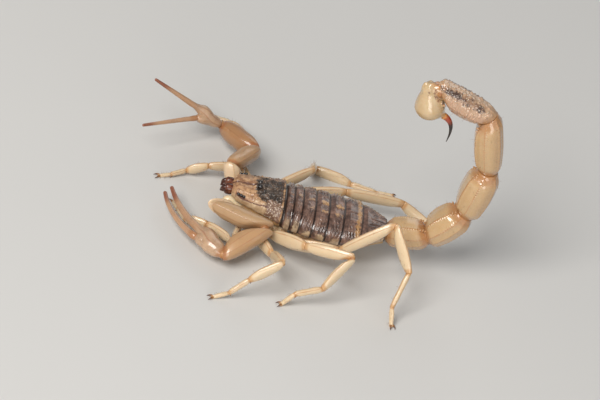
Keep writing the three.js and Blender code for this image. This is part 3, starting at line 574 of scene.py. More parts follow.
def shield_material():
    """The head shield: brown-tan lobes with a dark red furrow, a nearly black grained hind half whose
    raised grains carry pale specks of painted highlight, a far side and side grooves darkened as painted
    shade, tan flanks, and dusty hind corners that are pale on their grains with painted shade in the
    hollows between them.
    """
    g = Graph("shield_horn")
    mottle, blotch, fine = g.noise(1100, 4, 0.6), g.noise(2300, 3, 0.65), g.noise(9000, 2, 0.6)
    dark, line, flank, dust = g.attributes("tone", "keel", "mark", "stain")
    bead, cloud = g.cells(4300), mottle * 0.4 + blotch * 0.6
    front = g.mix(cloud.rise(0.4, 0.6), (0.52, 0.31, 0.165), (0.26, 0.12, 0.055))
    hind = g.mix(cloud.rise(0.4, 0.66), (0.02, 0.014, 0.011), (0.13, 0.08, 0.05))
    color = g.mix(dark.broken(blotch, 1.2, 0.25, 0.75), front, hind)
    # Painted highlights: pale specks on the raised grains of the dark hind half.
    speck = (1 - bead.rise(0.12, 0.32)) * blotch.rise(0.5, 0.6) * dark
    color = g.mix(speck * 0.9, color, (0.7, 0.6, 0.5))
    sandy = g.mix(mottle.rise(0.35, 0.7), (0.58, 0.42, 0.25), (0.38, 0.23, 0.12))
    color = g.mix(flank.broken(blotch, 0.8, 0.35, 0.8), color, sandy)
    # Painted shade: the dusty corners' raised grains stay pale and the hollows between them turn dark.
    meshes = g.mix(bead.broken(blotch, 0.6, 0.15, 0.5), (0.62, 0.48, 0.36), (0.2, 0.11, 0.07))
    color = g.mix(dust.broken(blotch, 1.2, 0.4, 0.85) * 0.9, color, meshes)
    color = g.mix(line.broken(fine, 0.6, 0.3, 0.95) * 0.9, color, (0.08, 0.02, 0.012))
    rough = (fine - 0.5) * 0.25 + 0.34 + flank * 0.12
    height = fine * 0.3 + (1 - bead.rise(0.05, 0.5)) * 0.7 * (dark * 0.6 + dust * 0.5 + 0.15)
    return g.surface(color, rough, (height, 0.06, 0.7), 0.35, 0.12, 0.05)


def back_material():
    """Trunk plates: dark purplish brown and glossy, with broken tan patches near the middle, grooves
    painted near-black as shade where the plates overlap, and soft beige side margins.
    """
    g = Graph("back_horn")
    mottle, blotch, fine = g.noise(1000, 4, 0.65), g.noise(2100, 3, 0.65), g.noise(8000, 2, 0.6)
    patch, border, margin = g.attributes("tone", "mark", "keel")
    ground = g.mix((mottle * 0.6 + blotch * 0.4).rise(0.38, 0.64), (0.06, 0.031, 0.023), (0.26, 0.15, 0.11))
    tan = g.mix(fine.rise(0.3, 0.7), (0.38, 0.18, 0.06), (0.5, 0.3, 0.13))
    color = g.mix((patch * 1.1).broken(blotch, 1.6, 0.45, 1.0) * patch.rise(0.0, 0.25), ground, tan)
    beige = g.mix(mottle.rise(0.35, 0.7), (0.54, 0.4, 0.25), (0.3, 0.19, 0.12))
    color = g.mix(margin.broken(blotch, 1.4, 0.45, 1.0) * margin.rise(0.0, 0.25), color, beige)
    # Painted shade: near-black at each plate's hind edge and sunk front, where the plates overlap.
    color = g.mix(border.broken(fine, 0.3, 0.35, 0.85), color, (0.03, 0.015, 0.011))
    rough = (mottle - 0.5) * 0.2 + 0.32 + patch * 0.1
    height = fine * 0.35 + g.cells(4200).rise(0.1, 0.6) * 0.65
    return g.surface(color, rough, (height, 0.045, 0.7), 1.0, 0.08, 0.03)


def skin_material(name, light, deep, roughness=0.5, wrinkle=1500):
    """Soft joint and flank skin: light with a mottle, darker in the hollows of its folds as painted shade,
    and a satin shine.
    """
    g = Graph(name)
    mottle, folds = g.noise(700, 4, 0.6), g.noise(wrinkle, 3, 0.6)
    # Painted shade: the colour is partly set by the fold height, so the folds' hollows are darker.
    color = g.mix((mottle * 0.6 + folds * 0.4).rise(0.35, 0.7), deep, light)
    return g.surface(color, (folds - 0.5) * 0.2 + roughness, (folds, 0.06, 0.5), 0.1, 0.3, 0.2)


def bulb_material():
    """The venom bulb: waxy cream-yellow, orange-brown at the stalk, with a faint mottle and dark spots."""
    g = Graph("bulb_horn")
    mottle, (mark, spot) = g.noise(800, 4, 0.55), g.attributes("mark", "keel")
    color = g.mix(mottle.rise(0.3, 0.75), (0.5, 0.34, 0.175), (0.58, 0.43, 0.25))
    color = g.mix(mark.broken(mottle, 0.6, 0.2, 0.8), color, (0.46, 0.19, 0.06))
    spots = (spot * 0.8).broken(g.noise(2200, 3, 0.6), 2.4, 0.66, 0.9)
    color = g.mix(spots * spot.rise(0.05, 0.4) * 0.8, color, (0.2, 0.09, 0.05))
    rough = (mottle - 0.5) * 0.1 + 0.2
    return g.surface(color, rough, (g.noise(5000, 2, 0.5), 0.004, 0.2), 1.0, 0.14, 0.15)


def sting_material():
    """The sting: amber red at its root, black from half way, highly polished."""
    g = Graph("sting_horn")
    (along,) = g.attributes("along")
    warm = g.mix(along.rise(0.0, 0.16), (0.62, 0.27, 0.07), (0.34, 0.05, 0.018))
    color = g.mix(along.rise(0.2, 0.5), warm, (0.012, 0.007, 0.006))
    return g.surface(color, g.noise(4000, 2, 0.5) * 0.1 + 0.16, None, 0.6, 0.06)


def jaw_material():
    """Jaws: dark red-brown with paler mottles, polished."""
    g = Graph("jaw_horn")
    mottle, (along,) = g.noise(1600, 4, 0.6), g.attributes("along")
    color = g.mix(mottle.rise(0.42, 0.68), (0.06, 0.014, 0.007), (0.2, 0.06, 0.025))
    color = g.mix(along.rise(0.7, 1.0) * 0.8, color, (0.03, 0.008, 0.005))
    return g.surface(color, mottle * 0.14 + 0.2, (g.noise(7000, 2, 0.5), 0.02, 0.4), 0.4, 0.1, 0.05)


def eye_material():
    """Eyes: polished black lenses with a faint brown depth."""
    g = Graph("eye_lens")
    depth = g.noise(2500, 2, 0.5)
    color = g.mix(depth.rise(0.4, 0.7), (0.006, 0.004, 0.004), (0.02, 0.01, 0.007))
    return g.surface(color, depth * 0.05 + 0.04, None, 0.8, 0.03)


def claw_material():
    """Claws, spurs and bristles: dark amber-brown, darker to the tip."""
    g = Graph("claw_horn")
    (along,) = g.attributes("along")
    color = g.mix(along.rise(0.1, 0.9), (0.34, 0.15, 0.05), (0.06, 0.018, 0.008))
    return g.surface(color, g.noise(5000, 2, 0.5) * 0.12 + 0.26, None, 0.2)


def floor_material():
    """A plain pale matt floor with the faintest variation."""
    g = Graph("pale_floor")
    cloud = g.noise(14, 3, 0.5)
    return g.surface(g.mix(cloud, (0.6, 0.595, 0.58), (0.64, 0.635, 0.62)), cloud * 0.05 + 0.72)


# ------------------------------------------------------------------ trunk


def trunk_station(x):
    """Half width, height of the back, margin of the back plates and belly height at x, as in the
    driving sizes, with straight lines between the rings' edges.
    """
    half = np.interp(x, EDGES, TRUNK_HALF_WIDTHS)
    top = np.interp(x, EDGES, TRUNK_TOPS)
    tail = smooth(x, EDGES[5], EDGES[-1])
    belly = BELLY_HEIGHT + (TAIL_ROOT_UNDERSIDE - BELLY_HEIGHT) * tail
    margin = 3.6 + 0.6 * tail
    return half, top, margin, belly


def arch_plate(x, lift, inset, station, arch_power, thickness, columns, under=60):
    """A bent plate as rings along x. The arch point at angle a is (half cos a, margin + rise sin^p a),
    pushed out by lift, and the underside returns along the same arch drawn in by the thickness.
    """
    half, top, margin, _ = station(x)
    a = np.concatenate([np.linspace(0, math.pi, columns), np.linspace(math.pi, 0, under + 2)[1:-1]])
    inner = np.concatenate([np.zeros(columns), np.full(under, 1.0)])
    rise = np.sin(np.clip(a, 0, math.pi)) ** arch_power
    depth = thickness * inner[None, :]
    half_row = half[:, None] - depth * 0.9 - inset[:, None]
    y = (half_row + lift * 0.4) * np.cos(a)[None, :]
    z = margin[:, None] + (top[:, None] - margin[:, None] + lift - depth) * rise[None, :]
    z = z + depth * 0.25 * (1 - rise[None, :])
    return y, z, np.broadcast_to(inner, y.shape)


def shield_station(x):
    """Half width, height and margin of the head shield at x: wider and higher backwards, and rounded
    down at its front edge.
    """
    t = np.clip((x + CARAPACE_LENGTH) / CARAPACE_LENGTH, 0, 1)
    edge = 1 - smooth(t, 0, 0.1)
    half = (2.15 + 1.75 * t**0.9) * (1 - 0.2 * (1 - smooth(t, -0.02, 0.09))) - 0.1 * edge
    top = 6.1 + 0.15 * np.sin(t * math.pi / 2) - SHIELD_ROUNDING * edge
    margin = 4.85 - 0.75 * t
    return half, top, margin, margin


def line_mask(x, y, start, end, width):
    """1 on the line from start to end, mirrored in y, falling off as a bell of the distance."""
    ax, ay = start
    bx, by = end
    dx, dy = bx - ax, by - ay
    share = np.clip(((x - ax) * dx + (np.abs(y) - ay) * dy) / (dx * dx + dy * dy), 0, 1)
    distance = np.hypot(x - ax - share * dx, np.abs(y) - ay - share * dy)
    return bell(distance, 0, width)


# each as its height or share, its two ends (x, y) and its width
SHIELD_KEELS = (
    (0.12, (-3.2, 0.85), (-0.4, 1.25), 0.12),
    (0.13, (-3.2, 0.95), (-1.6, 2.2), 0.13),
    (0.07, (-4.1, 0.45), (-6.3, 0.5), 0.1),
    (0.07, (-6.4, 1.5), (-4.2, 1.75), 0.11),
)
SHIELD_LINES = (
    (0.5, (-6.5, 0.95), (-5.8, 0.25), 0.13),
    (0.5, (-6.2, 1.35), (-4.3, 1.6), 0.09),
    (0.95, (-6.3, 1.95), (-5.35, 2.32), 0.27),
)


def shield_shell():
    """The head shield: an arched plate with a bowed front edge, two swollen front lobes beside a middle
    furrow, an eye hill, beaded keels that spread backwards, grains on its hind half, a groove along
    each side and rolled edges, all as bells and lines of x, y and the share y / half width.
    """
    rows = 200
    t = np.linspace(0, 1, rows)
    x = -CARAPACE_LENGTH + (CARAPACE_LENGTH - 0.05) * t
    edge = np.minimum(t, 1 - t) * CARAPACE_LENGTH
    roll = rolled(edge, 0.22)
    y, z, inner = arch_plate(x, np.zeros((rows, 1)), roll * 0.6, shield_station, 0.7, 0.42, 220, 80)
    half = shield_station(x)[0][:, None]
    xx = x[:, None] - SHIELD_NOSE * (1 - np.clip(y / half, -1, 1) ** 2) * (1 - t[:, None]) ** 2
    outer = 1 - inner
    spread = np.abs(y)
    side = spread / half
    hill = 0.34 * np.exp(-(((xx + 3.4) / 0.72) ** 2) - (y / 0.56) ** 2)
    lobes = 0.2 * np.exp(-(((xx + 5.2) / 1.15) ** 2) - ((spread - 0.95) / 0.62) ** 2)
    furrow = -0.2 * bell(y, 0, 0.17) * smooth(-xx, 3.9, 4.5)
    furrow = furrow - 0.1 * bell(y, 0, 0.16) * smooth(xx, -2.4, -1.8)
    groove_side = np.interp(x, (-6.4, -5.6, -4.25, -2.3, -1.4), (0.86, 0.92, 0.91, 0.85, 0.72))[:, None]
    groove = bell(side, groove_side, 0.03) * smooth(xx, -6.5, -6.1) * smooth(-xx, 1.7, 2.3)
    keels = sum(rise * line_mask(xx, y, *place) for rise, *place in SHIELD_KEELS)
    keels = keels * (0.65 + 0.35 * np.cos(xx * 2 * math.pi / 0.26))
    rough = grains(xx, y, SEEDS["shield"], 380, (-4.4, -3.7), (-0.2, 3.7), 0.1, 0.12)
    rough = rough + grains(xx, y, SEEDS["shield front"], 90, (-6.6, -2.2), (-4.2, 2.2), 0.06, 0.035)
    hem = 0.1 * smooth(xx, -0.42, -0.3)
    z = z + outer * (hill + lobes + furrow + keels + rough + hem - 0.12 * groove)
    z = z - roll[:, None] * outer + roll[:, None] * inner * 0.5
    border = np.interp(side, (0, 0.3, 0.5, 0.7, 0.86, 1.0), (-3.95, -4.1, -3.7, -3.1, -2.5, -2.3))
    border = border + 0.16 * np.sin(5.1 * y + 1.0) * np.sin(9.7 * y)
    hind = smooth(xx - border, -0.5, 0.5)
    # Painted shade: the far side of the shield's front is darkened like the dark hind half.
    far_side_shade = smooth(y, 1.5, 2.2) * smooth(xx, -5.0, -4.1)
    hem_color = bell(xx, -0.28, 0.17) * (0.7 + 0.3 * np.sin(8.3 * y) * np.sin(3.1 * y + 0.7))
    dark = np.clip(np.maximum(hind, far_side_shade), 0, 1) * (1 - 0.9 * hem_color)
    dark = np.maximum(dark, np.exp(-(((xx + 3.5) / 0.8) ** 2) - (y / 0.75) ** 2))
    line = bell(y, 0, 0.23) * smooth(-xx, 3.7, 4.2) * (1 - 0.3 * bell(xx, -5.9, 0.3))
    # Painted shade: the groove along each side is coloured as dark as the furrow lines.
    line = np.maximum(line, 0.9 * groove)
    for share, *place in SHIELD_LINES:
        line = np.maximum(line, share * line_mask(xx, y, *place))
    line = np.maximum(line, 0.7 * bell(xx, -0.6, 0.09) * (side < 0.8))
    flank = smooth(side - groove_side, 0.0, 0.05) * smooth(-xx, 1.7, 2.4)
    low_flank = smooth(side, 0.62, 0.75) * smooth(xx, -4.6, -3.8) * smooth(-xx, 1.8, 2.6)
    flank = np.maximum(flank, 0.55 * low_flank)
    dusty = smooth(side, 0.45, 0.66) * smooth(xx, -2.9, -1.9) * (1 - smooth(xx, -0.45, -0.25))
    dusty = np.maximum(dusty, 0.62 * line_mask(xx, y, (-3.1, 0.95), (-1.95, 1.95), 0.24))
    values = {"along": t[:, None], "tone": dark * (1 - flank), "keel": line, "mark": flank, "stain": dusty}
    return ring_shell(surface_points(xx, y, z), values)


PATCH_STRENGTH = (0.45, 0.7, 0.65, 1.0, 0.95, 0.35, 0.3)
BAND_STRENGTH = (0.35, 0.2, 0.0, 0.0, 0.1, 1.0, 0.0)
PALE_SIDES = (0.95, 0.8, 0.5, 0.3, 0.3, 0.3, 0.2)


def back_plate_shell(k):
    """One back plate: sunk in front, swollen behind, with a middle keel, beaded side keels, cross
    wrinkles on the shoulders and grains. Its hind edge stands over the next plate.
    """
    rows = 64
    t = np.linspace(0, 1, rows)
    start = EDGES[k] - 0.02
    end = EDGES[k + 1] + (0.16 if k < 6 else -0.1)
    length = end - start
    x = start + length * t
    lift = -0.3 + 0.42 * smooth(t * length, 0.1, 0.25 + 0.3 * min(length, 2.4))
    roll = rolled((1 - t) * length, 0.3)
    y, z, inner = arch_plate(x, lift[:, None], roll * 0.3, trunk_station, 0.8, 0.24, 180)
    xx = np.broadcast_to(x[:, None], y.shape)
    outer = 1 - inner
    half, _, _, _ = trunk_station(x)
    side = y / half[:, None]
    away = np.abs(side)
    behind = smooth(t, 0.25, 0.45)[:, None]
    keel_places = (0.0, 0.36) if k < 6 else (0.0, 0.3, 0.62)
    keels = sum(bell(away, place, 0.035) for place in keel_places)
    keels = keels * behind * (0.6 + 0.4 * np.cos(xx * 2 * math.pi / 0.24)) * 0.09
    shoulder = smooth(away, 0.42, 0.62) * (1 - smooth(away, 0.93, 1.0))
    patchy = 0.6 + 0.4 * np.sin(9.0 * side + 2.3 * k) * np.sin(17.0 * side - k)
    wrinkles = 0.078 * np.sin(xx * 2 * math.pi / 0.4 + 2.2 * np.sin(7 * side + k)) * shoulder * patchy
    wrinkles = wrinkles * (0.35 + 0.65 * behind)
    low, high = (EDGES[k] + 0.25 * TRUNK_LENGTHS[k], -4.2), (EDGES[k + 1], 4.2)
    count = 50 + int(36 * TRUNK_LENGTHS[k])
    rough = grains(xx, y, SEEDS["back plates"] + k, count, low, high, 0.08, 0.055) * behind
    z = z + outer * (keels + rough + wrinkles)
    z = z - (roll[:, None] * outer) + roll[:, None] * inner * 0.3
    y = y * (1 + outer * wrinkles * 0.25)
    tt = np.broadcast_to(t[:, None], y.shape)
    stretch = smooth(tt, 0.3, 0.5) * (1 - smooth(tt, 0.86, 0.94))
    patch = PATCH_STRENGTH[k] * np.maximum(bell(side, 0.06, 0.13), 0.75 * bell(side, -0.3, 0.1)) * stretch
    patch = np.maximum(patch, 0.5 * PATCH_STRENGTH[k] * bell(side, 0.42, 0.1) * smooth(tt, 0.45, 0.6))
    band = BAND_STRENGTH[k] * 0.9 * bell(tt, 0.8, 0.17) * (1 - smooth(away, 0.8, 1.0))
    band = np.maximum(band, 0.42 * bell(tt, 0.87, 0.06) * (1 - smooth(away, 0.5, 0.8)))
    patch = np.maximum(patch, band)
    # Painted shade at the hind edge and where the previous plate overlaps the front, carried as the mark
    # value.
    border = smooth(tt, 0.89, 0.95) * (0.85 if k != 5 else 0.2)
    border = border + 0.95 * (1 - smooth(t * length, 0.2, 0.5)[:, None])
    pale_side = smooth(away, 0.66, 0.98) * PALE_SIDES[k]
    margin = np.maximum(smooth(away, 0.94, 1.0) * (0.4 + 0.6 * smooth(tt, 0.3, 0.6)), pale_side * behind)
    values = {"along": tt, "tone": patch, "mark": np.clip(border, 0, 1), "keel": margin}
    return ring_shell(np.stack([xx, y, z], -1), values)


def flank_shell():
    """The soft trunk under the plates: a closed barrel whose sides bulge within each ring and fold
    between rings, as a sine of x, with finer creases.
    """
    rows, columns = 240, 120
    x = np.linspace(-0.5, EDGES[-1] - 0.1, rows)
    half, top, margin, belly = trunk_station(np.clip(x, 0, None))
    belly = np.where(x < EDGES[2], 3.35 - (3.35 - BELLY_HEIGHT) * smooth(x, EDGES[2] - 0.4, EDGES[2]), belly)
    phase = np.interp(x, EDGES, np.arange(8))
    fold = np.abs(np.sin(math.pi * phase)) ** 0.6
    q = turns(columns)
    cos_q, sin_q = squarish(q, 0.55, 0.8)
    upper = (top - 0.6 - margin)[:, None]
    lower = (margin - belly - 0.12)[:, None]
    crease = 0.03 * np.sin(x * 2 * math.pi / 0.21)[:, None] * np.abs(np.cos(q)) ** 2
    ends = smooth(x, -0.5, -0.2)[:, None] * (1 - smooth(x, EDGES[-1] - 0.5, EDGES[-1] - 0.1) * 0.3)[:, None]
    y = ((half - 0.34 + 0.12 * fold)[:, None] + crease) * cos_q * (0.4 + 0.6 * ends)
    z = margin[:, None] + np.where(sin_q > 0, upper, lower) * sin_q * (0.4 + 0.6 * ends)
    return ring_shell(surface_points(x, y, z), {"along": phase[:, None] / 7})


def belly_plate_shell(k):
    """One belly plate: a shallow tray along x, its section flat with upturned sides, with a raised hind
    hem and a breathing slit dented in each side.
    """
    rows, columns, under = 40, 90, 40
    t = np.linspace(0, 1, rows)
    x = EDGES[k] + 0.02 + (TRUNK_LENGTHS[k] + (0.08 if k < 6 else -0.2)) * t
    half, _, margin, belly = trunk_station(x)
    v = np.concatenate([np.linspace(-1, 1, columns), np.linspace(1, -1, under + 2)[1:-1]])
    inner = np.concatenate([np.zeros(columns), np.ones(under)])
    y = (0.9 * half[:, None] - 0.1 * inner) * v
    rim = np.abs(v) ** 5
    sides = np.minimum(margin - 0.55 - belly, 1.5)[:, None]
    z = belly[:, None] + sides * rim + 0.2 * inner
    hem = -0.05 * smooth(t, 0.75, 0.95)[:, None] * (1 - inner)
    side = v[None, :]
    slit = 0.12 * bell(np.abs(side), 0.62, 0.06) * bell(t[:, None], 0.45, 0.16) * (1 - inner)
    z = z + hem + slit + 0.04
    values = {"along": t[:, None], "keel": slit / 0.12 * 0.8, "mark": smooth(t, 0.88, 0.97)[:, None]}
    return ring_shell(surface_points(x, y, z), values)


# ------------------------------------------------------------------ tail

TAIL_DIRECTIONS = [tail_direction(pitch) for pitch in TAIL_PITCHES]
TAIL_JOINTS = chain(TAIL_ROOT, TAIL_LENGTHS, TAIL_DIRECTIONS)
VESICLE_MIDDLE = TAIL_JOINTS[-1] + VESICLE_GLOBE


def tail_keels(k):
    """The keels of tail ring k as (angle, spread, rise, beads): pairs mirrored about the back."""
    beads = TAIL_LENGTHS[k] * 2.6
    pairs = [(60, 8, 0.08), (15, 7, 0.06), (-48, 7, 0.07), (-74, 5, 0.035)]
    if k < 2:
        pairs.append((-14, 5, 0.035))
    keels = []
    for angle, spread, rise in pairs:
        keels.append((angle, spread, rise, beads))
        keels.append((180 - angle, spread, rise, beads))
    return keels


def tail_profile(k):
    """A ring's size along it: egg-shaped, with ends of the ring's own share of its size."""
    end = TAIL_ENDS[k]
    near, far = end + (1 - end) * 0.55, end + (1 - end) * 0.68
    return ((0, end), (0.1, near), (0.32, 0.98), (0.62, 1.0), (0.86, far), (0.95, end + 0.08), (1, end))


def tail_stain(t, q):
    """The last ring's dark granular belt along its outer side: bells of the angle, faded at its root."""
    near = np.maximum(bell(q, math.radians(230), 0.5), 0.8 * bell(q, math.radians(310), 0.5))
    return near * smooth(t, 0.08, 0.3)[:, None]


def tail_ring_shell(k):
    """One tail ring: an egg-shaped barrel with beaded keels."""
    profile = tail_profile(k)
    style = limb_style(
        TAIL_HALF_WIDTHS[k], TAIL_HALF_HEIGHTS[k],
        profile,
        None,
        square=0.95,
        keels=tail_keels(k),
        dome=0.2,
        sharp=4,
        marks=(0.74, 0.97, 0.03, 0.2),
        stain=tail_stain if k == 4 else None,
    )
    before = np.array([1.0, 0, 0]) if k == 0 else TAIL_DIRECTIONS[k - 1]
    after = TAIL_DIRECTIONS[k + 1] if k < 4 else tail_direction(VESICLE_PITCH)
    start, end = TAIL_JOINTS[k], TAIL_JOINTS[k + 1]
    return limb_piece(start, end, before, after, style, 1.0, ACROSS_TAIL, 0.14, 110, 160)


def tail_teeth(k):
    """The larger tooth that ends each upper keel of a tail ring: a short cone that leans backwards."""
    direction = TAIL_DIRECTIONS[k]
    over = np.cross(direction, ACROSS_TAIL)
    teeth = []
    for sign in (-1, 1):
        for share in (0.8, 0.86, 0.92):
            radius = np.interp(share, *zip(*tail_profile(k)))
            foot = TAIL_JOINTS[k] + TAIL_LENGTHS[k] * share * direction
            foot = foot + sign * 0.5 * radius * TAIL_HALF_WIDTHS[k] * ACROSS_TAIL
            foot = foot + 0.87 * radius * TAIL_HALF_HEIGHTS[k] * over
            tip = foot + 0.2 * direction + 0.17 * over
            path = np.linspace(foot - 0.2 * over, tip, 8)
            radii = taper(0.15, 0.02, 1.8, 8)
            teeth.append(path_tube(path, radii, radii, ACROSS_TAIL, {"keel": 0.6, "mark": 0.8}, 12))
    return teeth


def round_cone(points, start, end, start_radius, end_radius, power=1.0):
    """Distance to a cone with round ends: to its axis, less a radius that runs from one to the other
    with a power of the share along it.
    """
    axis = end - start
    share = np.clip((points - start) @ axis / (axis @ axis), 0, 1)[..., None]
    radius = start_radius + (end_radius - start_radius) * share[..., 0] ** power
    return np.linalg.norm(points - start - share * axis, axis=-1) - radius


def blended(first, second, width):
    """A smooth least of two distances: they run into each other over the width."""
    share = np.clip(0.5 + 0.5 * (second - first) / width, 0, 1)
    return second + (first - second) * share - width * share * (1 - share)


def vesicle_shell():
    """The venom bulb: from its middle, each ray's length to where the blended distance to an egg, a
    stalk and the sting's neck is nothing, found by halving, with small nubs round the stalk.
    """
    rows, columns = 120, 128
    begin = VESICLE_MIDDLE + STING_START
    base = TAIL_JOINTS[-1] + VESICLE_BASE
    axis = unit(begin - VESICLE_MIDDLE)
    over = np.cross(axis, ACROSS_TAIL)
    a = np.linspace(0.01, math.pi - 0.01, rows)[:, None]
    q = turns(columns)[None, :]
    ways = (
        np.cos(a)[..., None] * axis
        + (np.sin(a) * np.cos(q))[..., None] * ACROSS_TAIL
        + (np.sin(a) * np.sin(q))[..., None] * over
    )
    near, far = np.zeros((rows, columns)), np.full((rows, columns), 5.0)
    for _ in range(HALVINGS):
        middle = (near + far) / 2
        points = VESICLE_MIDDLE + middle[..., None] * ways
        egg = round_cone(points, VESICLE_MIDDLE, base, VESICLE_GLOBE_RADIUS, 0.62 * VESICLE_BASE_RADIUS, 1.35)
        stalk = round_cone(points, base, TAIL_JOINTS[-1] - 0.1 * unit(TAIL_JOINTS[-1] - base), 0.85, 0.9)
        neck = round_cone(points, VESICLE_MIDDLE + 1.2 * axis, begin, 1.0, 0.36)
        distance = blended(blended(egg, stalk, 0.45), neck, 0.7)
        near, far = np.where(distance < 0, middle, near), np.where(distance < 0, far, middle)
    neck_angle = np.degrees(a)
    stalk_angle = np.degrees(np.arccos(np.clip(ways @ unit(TAIL_JOINTS[-1] - VESICLE_MIDDLE), -1, 1)))
    round_angle = np.degrees(q) + 0 * a
    nubs = grains(stalk_angle, round_angle, SEEDS["nubs"], 110, (4, 0), (60, 360), 4.2, 0.22)
    pits = grains(neck_angle + 0 * q, round_angle, SEEDS["pits"], 60, (20, 0), (160, 360), 3.0, 0.008)
    radius = near + pits + nubs * (1 - smooth(stalk_angle, 24, 66))
    rings = VESICLE_MIDDLE + radius[..., None] * ways
    mark = np.maximum(0.7 * bell(neck_angle, 0, 12), 0.95 * bell(stalk_angle, 0, 24))
    dark = bell(stalk_angle, 26, 18) * (0.6 + 0.4 * np.sin(3 * q + 1.0))
    return ring_shell(rings, {"along": a / math.pi, "mark": mark, "keel": dark})


def sting_shell():
    """The sting: a tube along a quadratic curve that leaves the bulb and hooks down to a fine tip."""
    path = bezier(*(VESICLE_MIDDLE + place for place in (STING_START, STING_HANDLE, STING_END)), 70)
    t = np.linspace(0, 1, 70)
    radii = STING_RADII[0] + (STING_RADII[1] - STING_RADII[0]) * t**1.1
    return path_tube(path, radii, radii, ACROSS_TAIL, None, 32)


# ------------------------------------------------------------------ small parts


def spines(feet, tips, radius, sides):
    """Slender cones, all at once: a ring of points round each foot, a narrower ring at mid length and a
    point at the tip. Every cone is closed by a fan at its foot.
    """
    feet, tips = np.atleast_2d(feet).astype(float), np.atleast_2d(tips).astype(float)
    axis = units(tips - feet)
    helper = np.where(np.abs(axis[:, 2:3]) < 0.9, UP, np.array([1.0, 0, 0]))
    side = units(np.cross(axis, helper))
    over = np.cross(axis, side)
    q = turns(sides)[None, :, None]
    circle = np.cos(q) * side[:, None, :] + np.sin(q) * over[:, None, :]
    low = feet[:, None] + radius * circle
    high = (0.45 * feet + 0.55 * tips)[:, None] + 0.55 * radius * circle
    points = np.concatenate([low, high, feet[:, None], tips[:, None]], 1)
    start = np.arange(len(feet))[:, None] * (2 * sides + 2)
    j = np.arange(sides)
    k = (j + 1) % sides
    quads = np.stack([start + j, start + k, start + k + sides, start + j + sides], -1).reshape(-1, 4)
    foot = np.broadcast_to(start + 2 * sides, (len(feet), sides))
    bottom = np.stack([foot, start + k, start + j], -1).reshape(-1, 3)
    top = np.stack([foot + 1, start + j + sides, start + k + sides], -1).reshape(-1, 3)
    along = np.concatenate([np.zeros(sides), np.full(sides, 0.55), [0.0, 1.0]])
    values = {"along": np.tile(along, len(feet))}
    return Shell(points.reshape(-1, 3), quads, np.vstack([bottom, top]), values)


def bristles(shell, start, end, seed, count, length, radius, lean=0.6):
    """Bristles on a limb piece: seeded points of its surface, each leaning from straight out towards the
    piece's far end.
    """
    random = np.random.default_rng(seed)
    direction = unit(end - start)
    reach = (shell.points - start) @ direction / np.linalg.norm(end - start)
    fit = np.flatnonzero((reach > 0.1) & (reach < 0.95))
    feet = shell.points[random.choice(fit, count, replace=False)]
    out = units(feet - start - ((feet - start) @ direction)[:, None] * direction)
    lengths = length * random.uniform(0.6, 1.2, count)[:, None]
    ways = units(out + lean * direction + random.normal(0, 0.15, (count, 3)))
    return spines(feet - 0.03 * out, feet + lengths * ways, radius, 4)


def over_floor(shell, height=0.0):
    """Presses flat whatever would reach below the floor."""
    shell.points[:, 2] = np.maximum(shell.points[:, 2], height)
    return shell


# ------------------------------------------------------------------ head and chest

MEDIAN_EYE = (-3.55, 0.4, 6.46)
MEDIAN_EYE_RADII = (0.32, 0.32, 0.32)
SIDE_EYE = (-6.1, 1.98, 5.66)
SIDE_EYE_RADII = (0.22, 0.2, 0.22)


def eye_shells(sign):
    """A middle eye: a globe sunk in the eye hill."""
    x, y, z = MEDIAN_EYE
    return [ball((x, sign * y, z), MEDIAN_EYE_RADII, 28, 40)]


def side_eye_shells():
    """The side eyes: three small lenses in a row on each front corner of the shield."""
    x, y, z = SIDE_EYE
    shells = []
    for sign in (-1, 1):
        for i in range(3):
            centre = (x + 0.36 * i, sign * (y + 0.12 * i), z)
            shells.append(ball(centre, SIDE_EYE_RADII, 14, 20))
    return shells


def jaw_shells(sign):
    """A jaw: a plump hand, egg-shaped along its path, with two closed hooked fingers."""
    t, ends = rounded(40, 0.3)
    start, end = np.array([-6.6, sign * 0.62, 5.0]), np.array([-8.02, sign * 0.62, 4.9])
    path = start + t[:, None] * (end - start)
    swell = 0.95 + 0.14 * np.sin(math.pi * t)
    shells = [path_tube(path, 0.57 * swell * ends, 0.74 * swell * ends, ACROSS_TAIL, None, 44)]
    for out, rise in ((0.1, 0.22), (-0.08, -0.3)):
        a = np.array([-7.7, sign * (0.62 + out), 4.95 + rise])
        b = np.array([-8.22, sign * (0.6 + out), 4.85 + rise])
        c = np.array([-8.3, sign * 0.5, 4.4 + rise * 0.6])
        finger = bezier(a, b, c, 20)
        radii = taper(0.28, 0.04, 2.2, 20)
        shells.append(path_tube(finger, radii, radii, ACROSS_TAIL, {"along": 0.9}, 20))
    return shells


def hip_direction(root):
    """The level outward way in which a hip meets its leg."""
    return unit([root[0] * 0.12, root[1], -0.1])


def arm_hip_direction(sign):
    """The forward and outward way in which an arm's hip meets it."""
    return unit([-0.9, sign * 0.42, 0.1])


def hip_after(own, inward, onward):
    """Mirrors the hip's own way in the plane that its limb starts from."""
    normal = unit(inward + onward)
    return unit(2 * np.dot(own, normal) * normal - own)


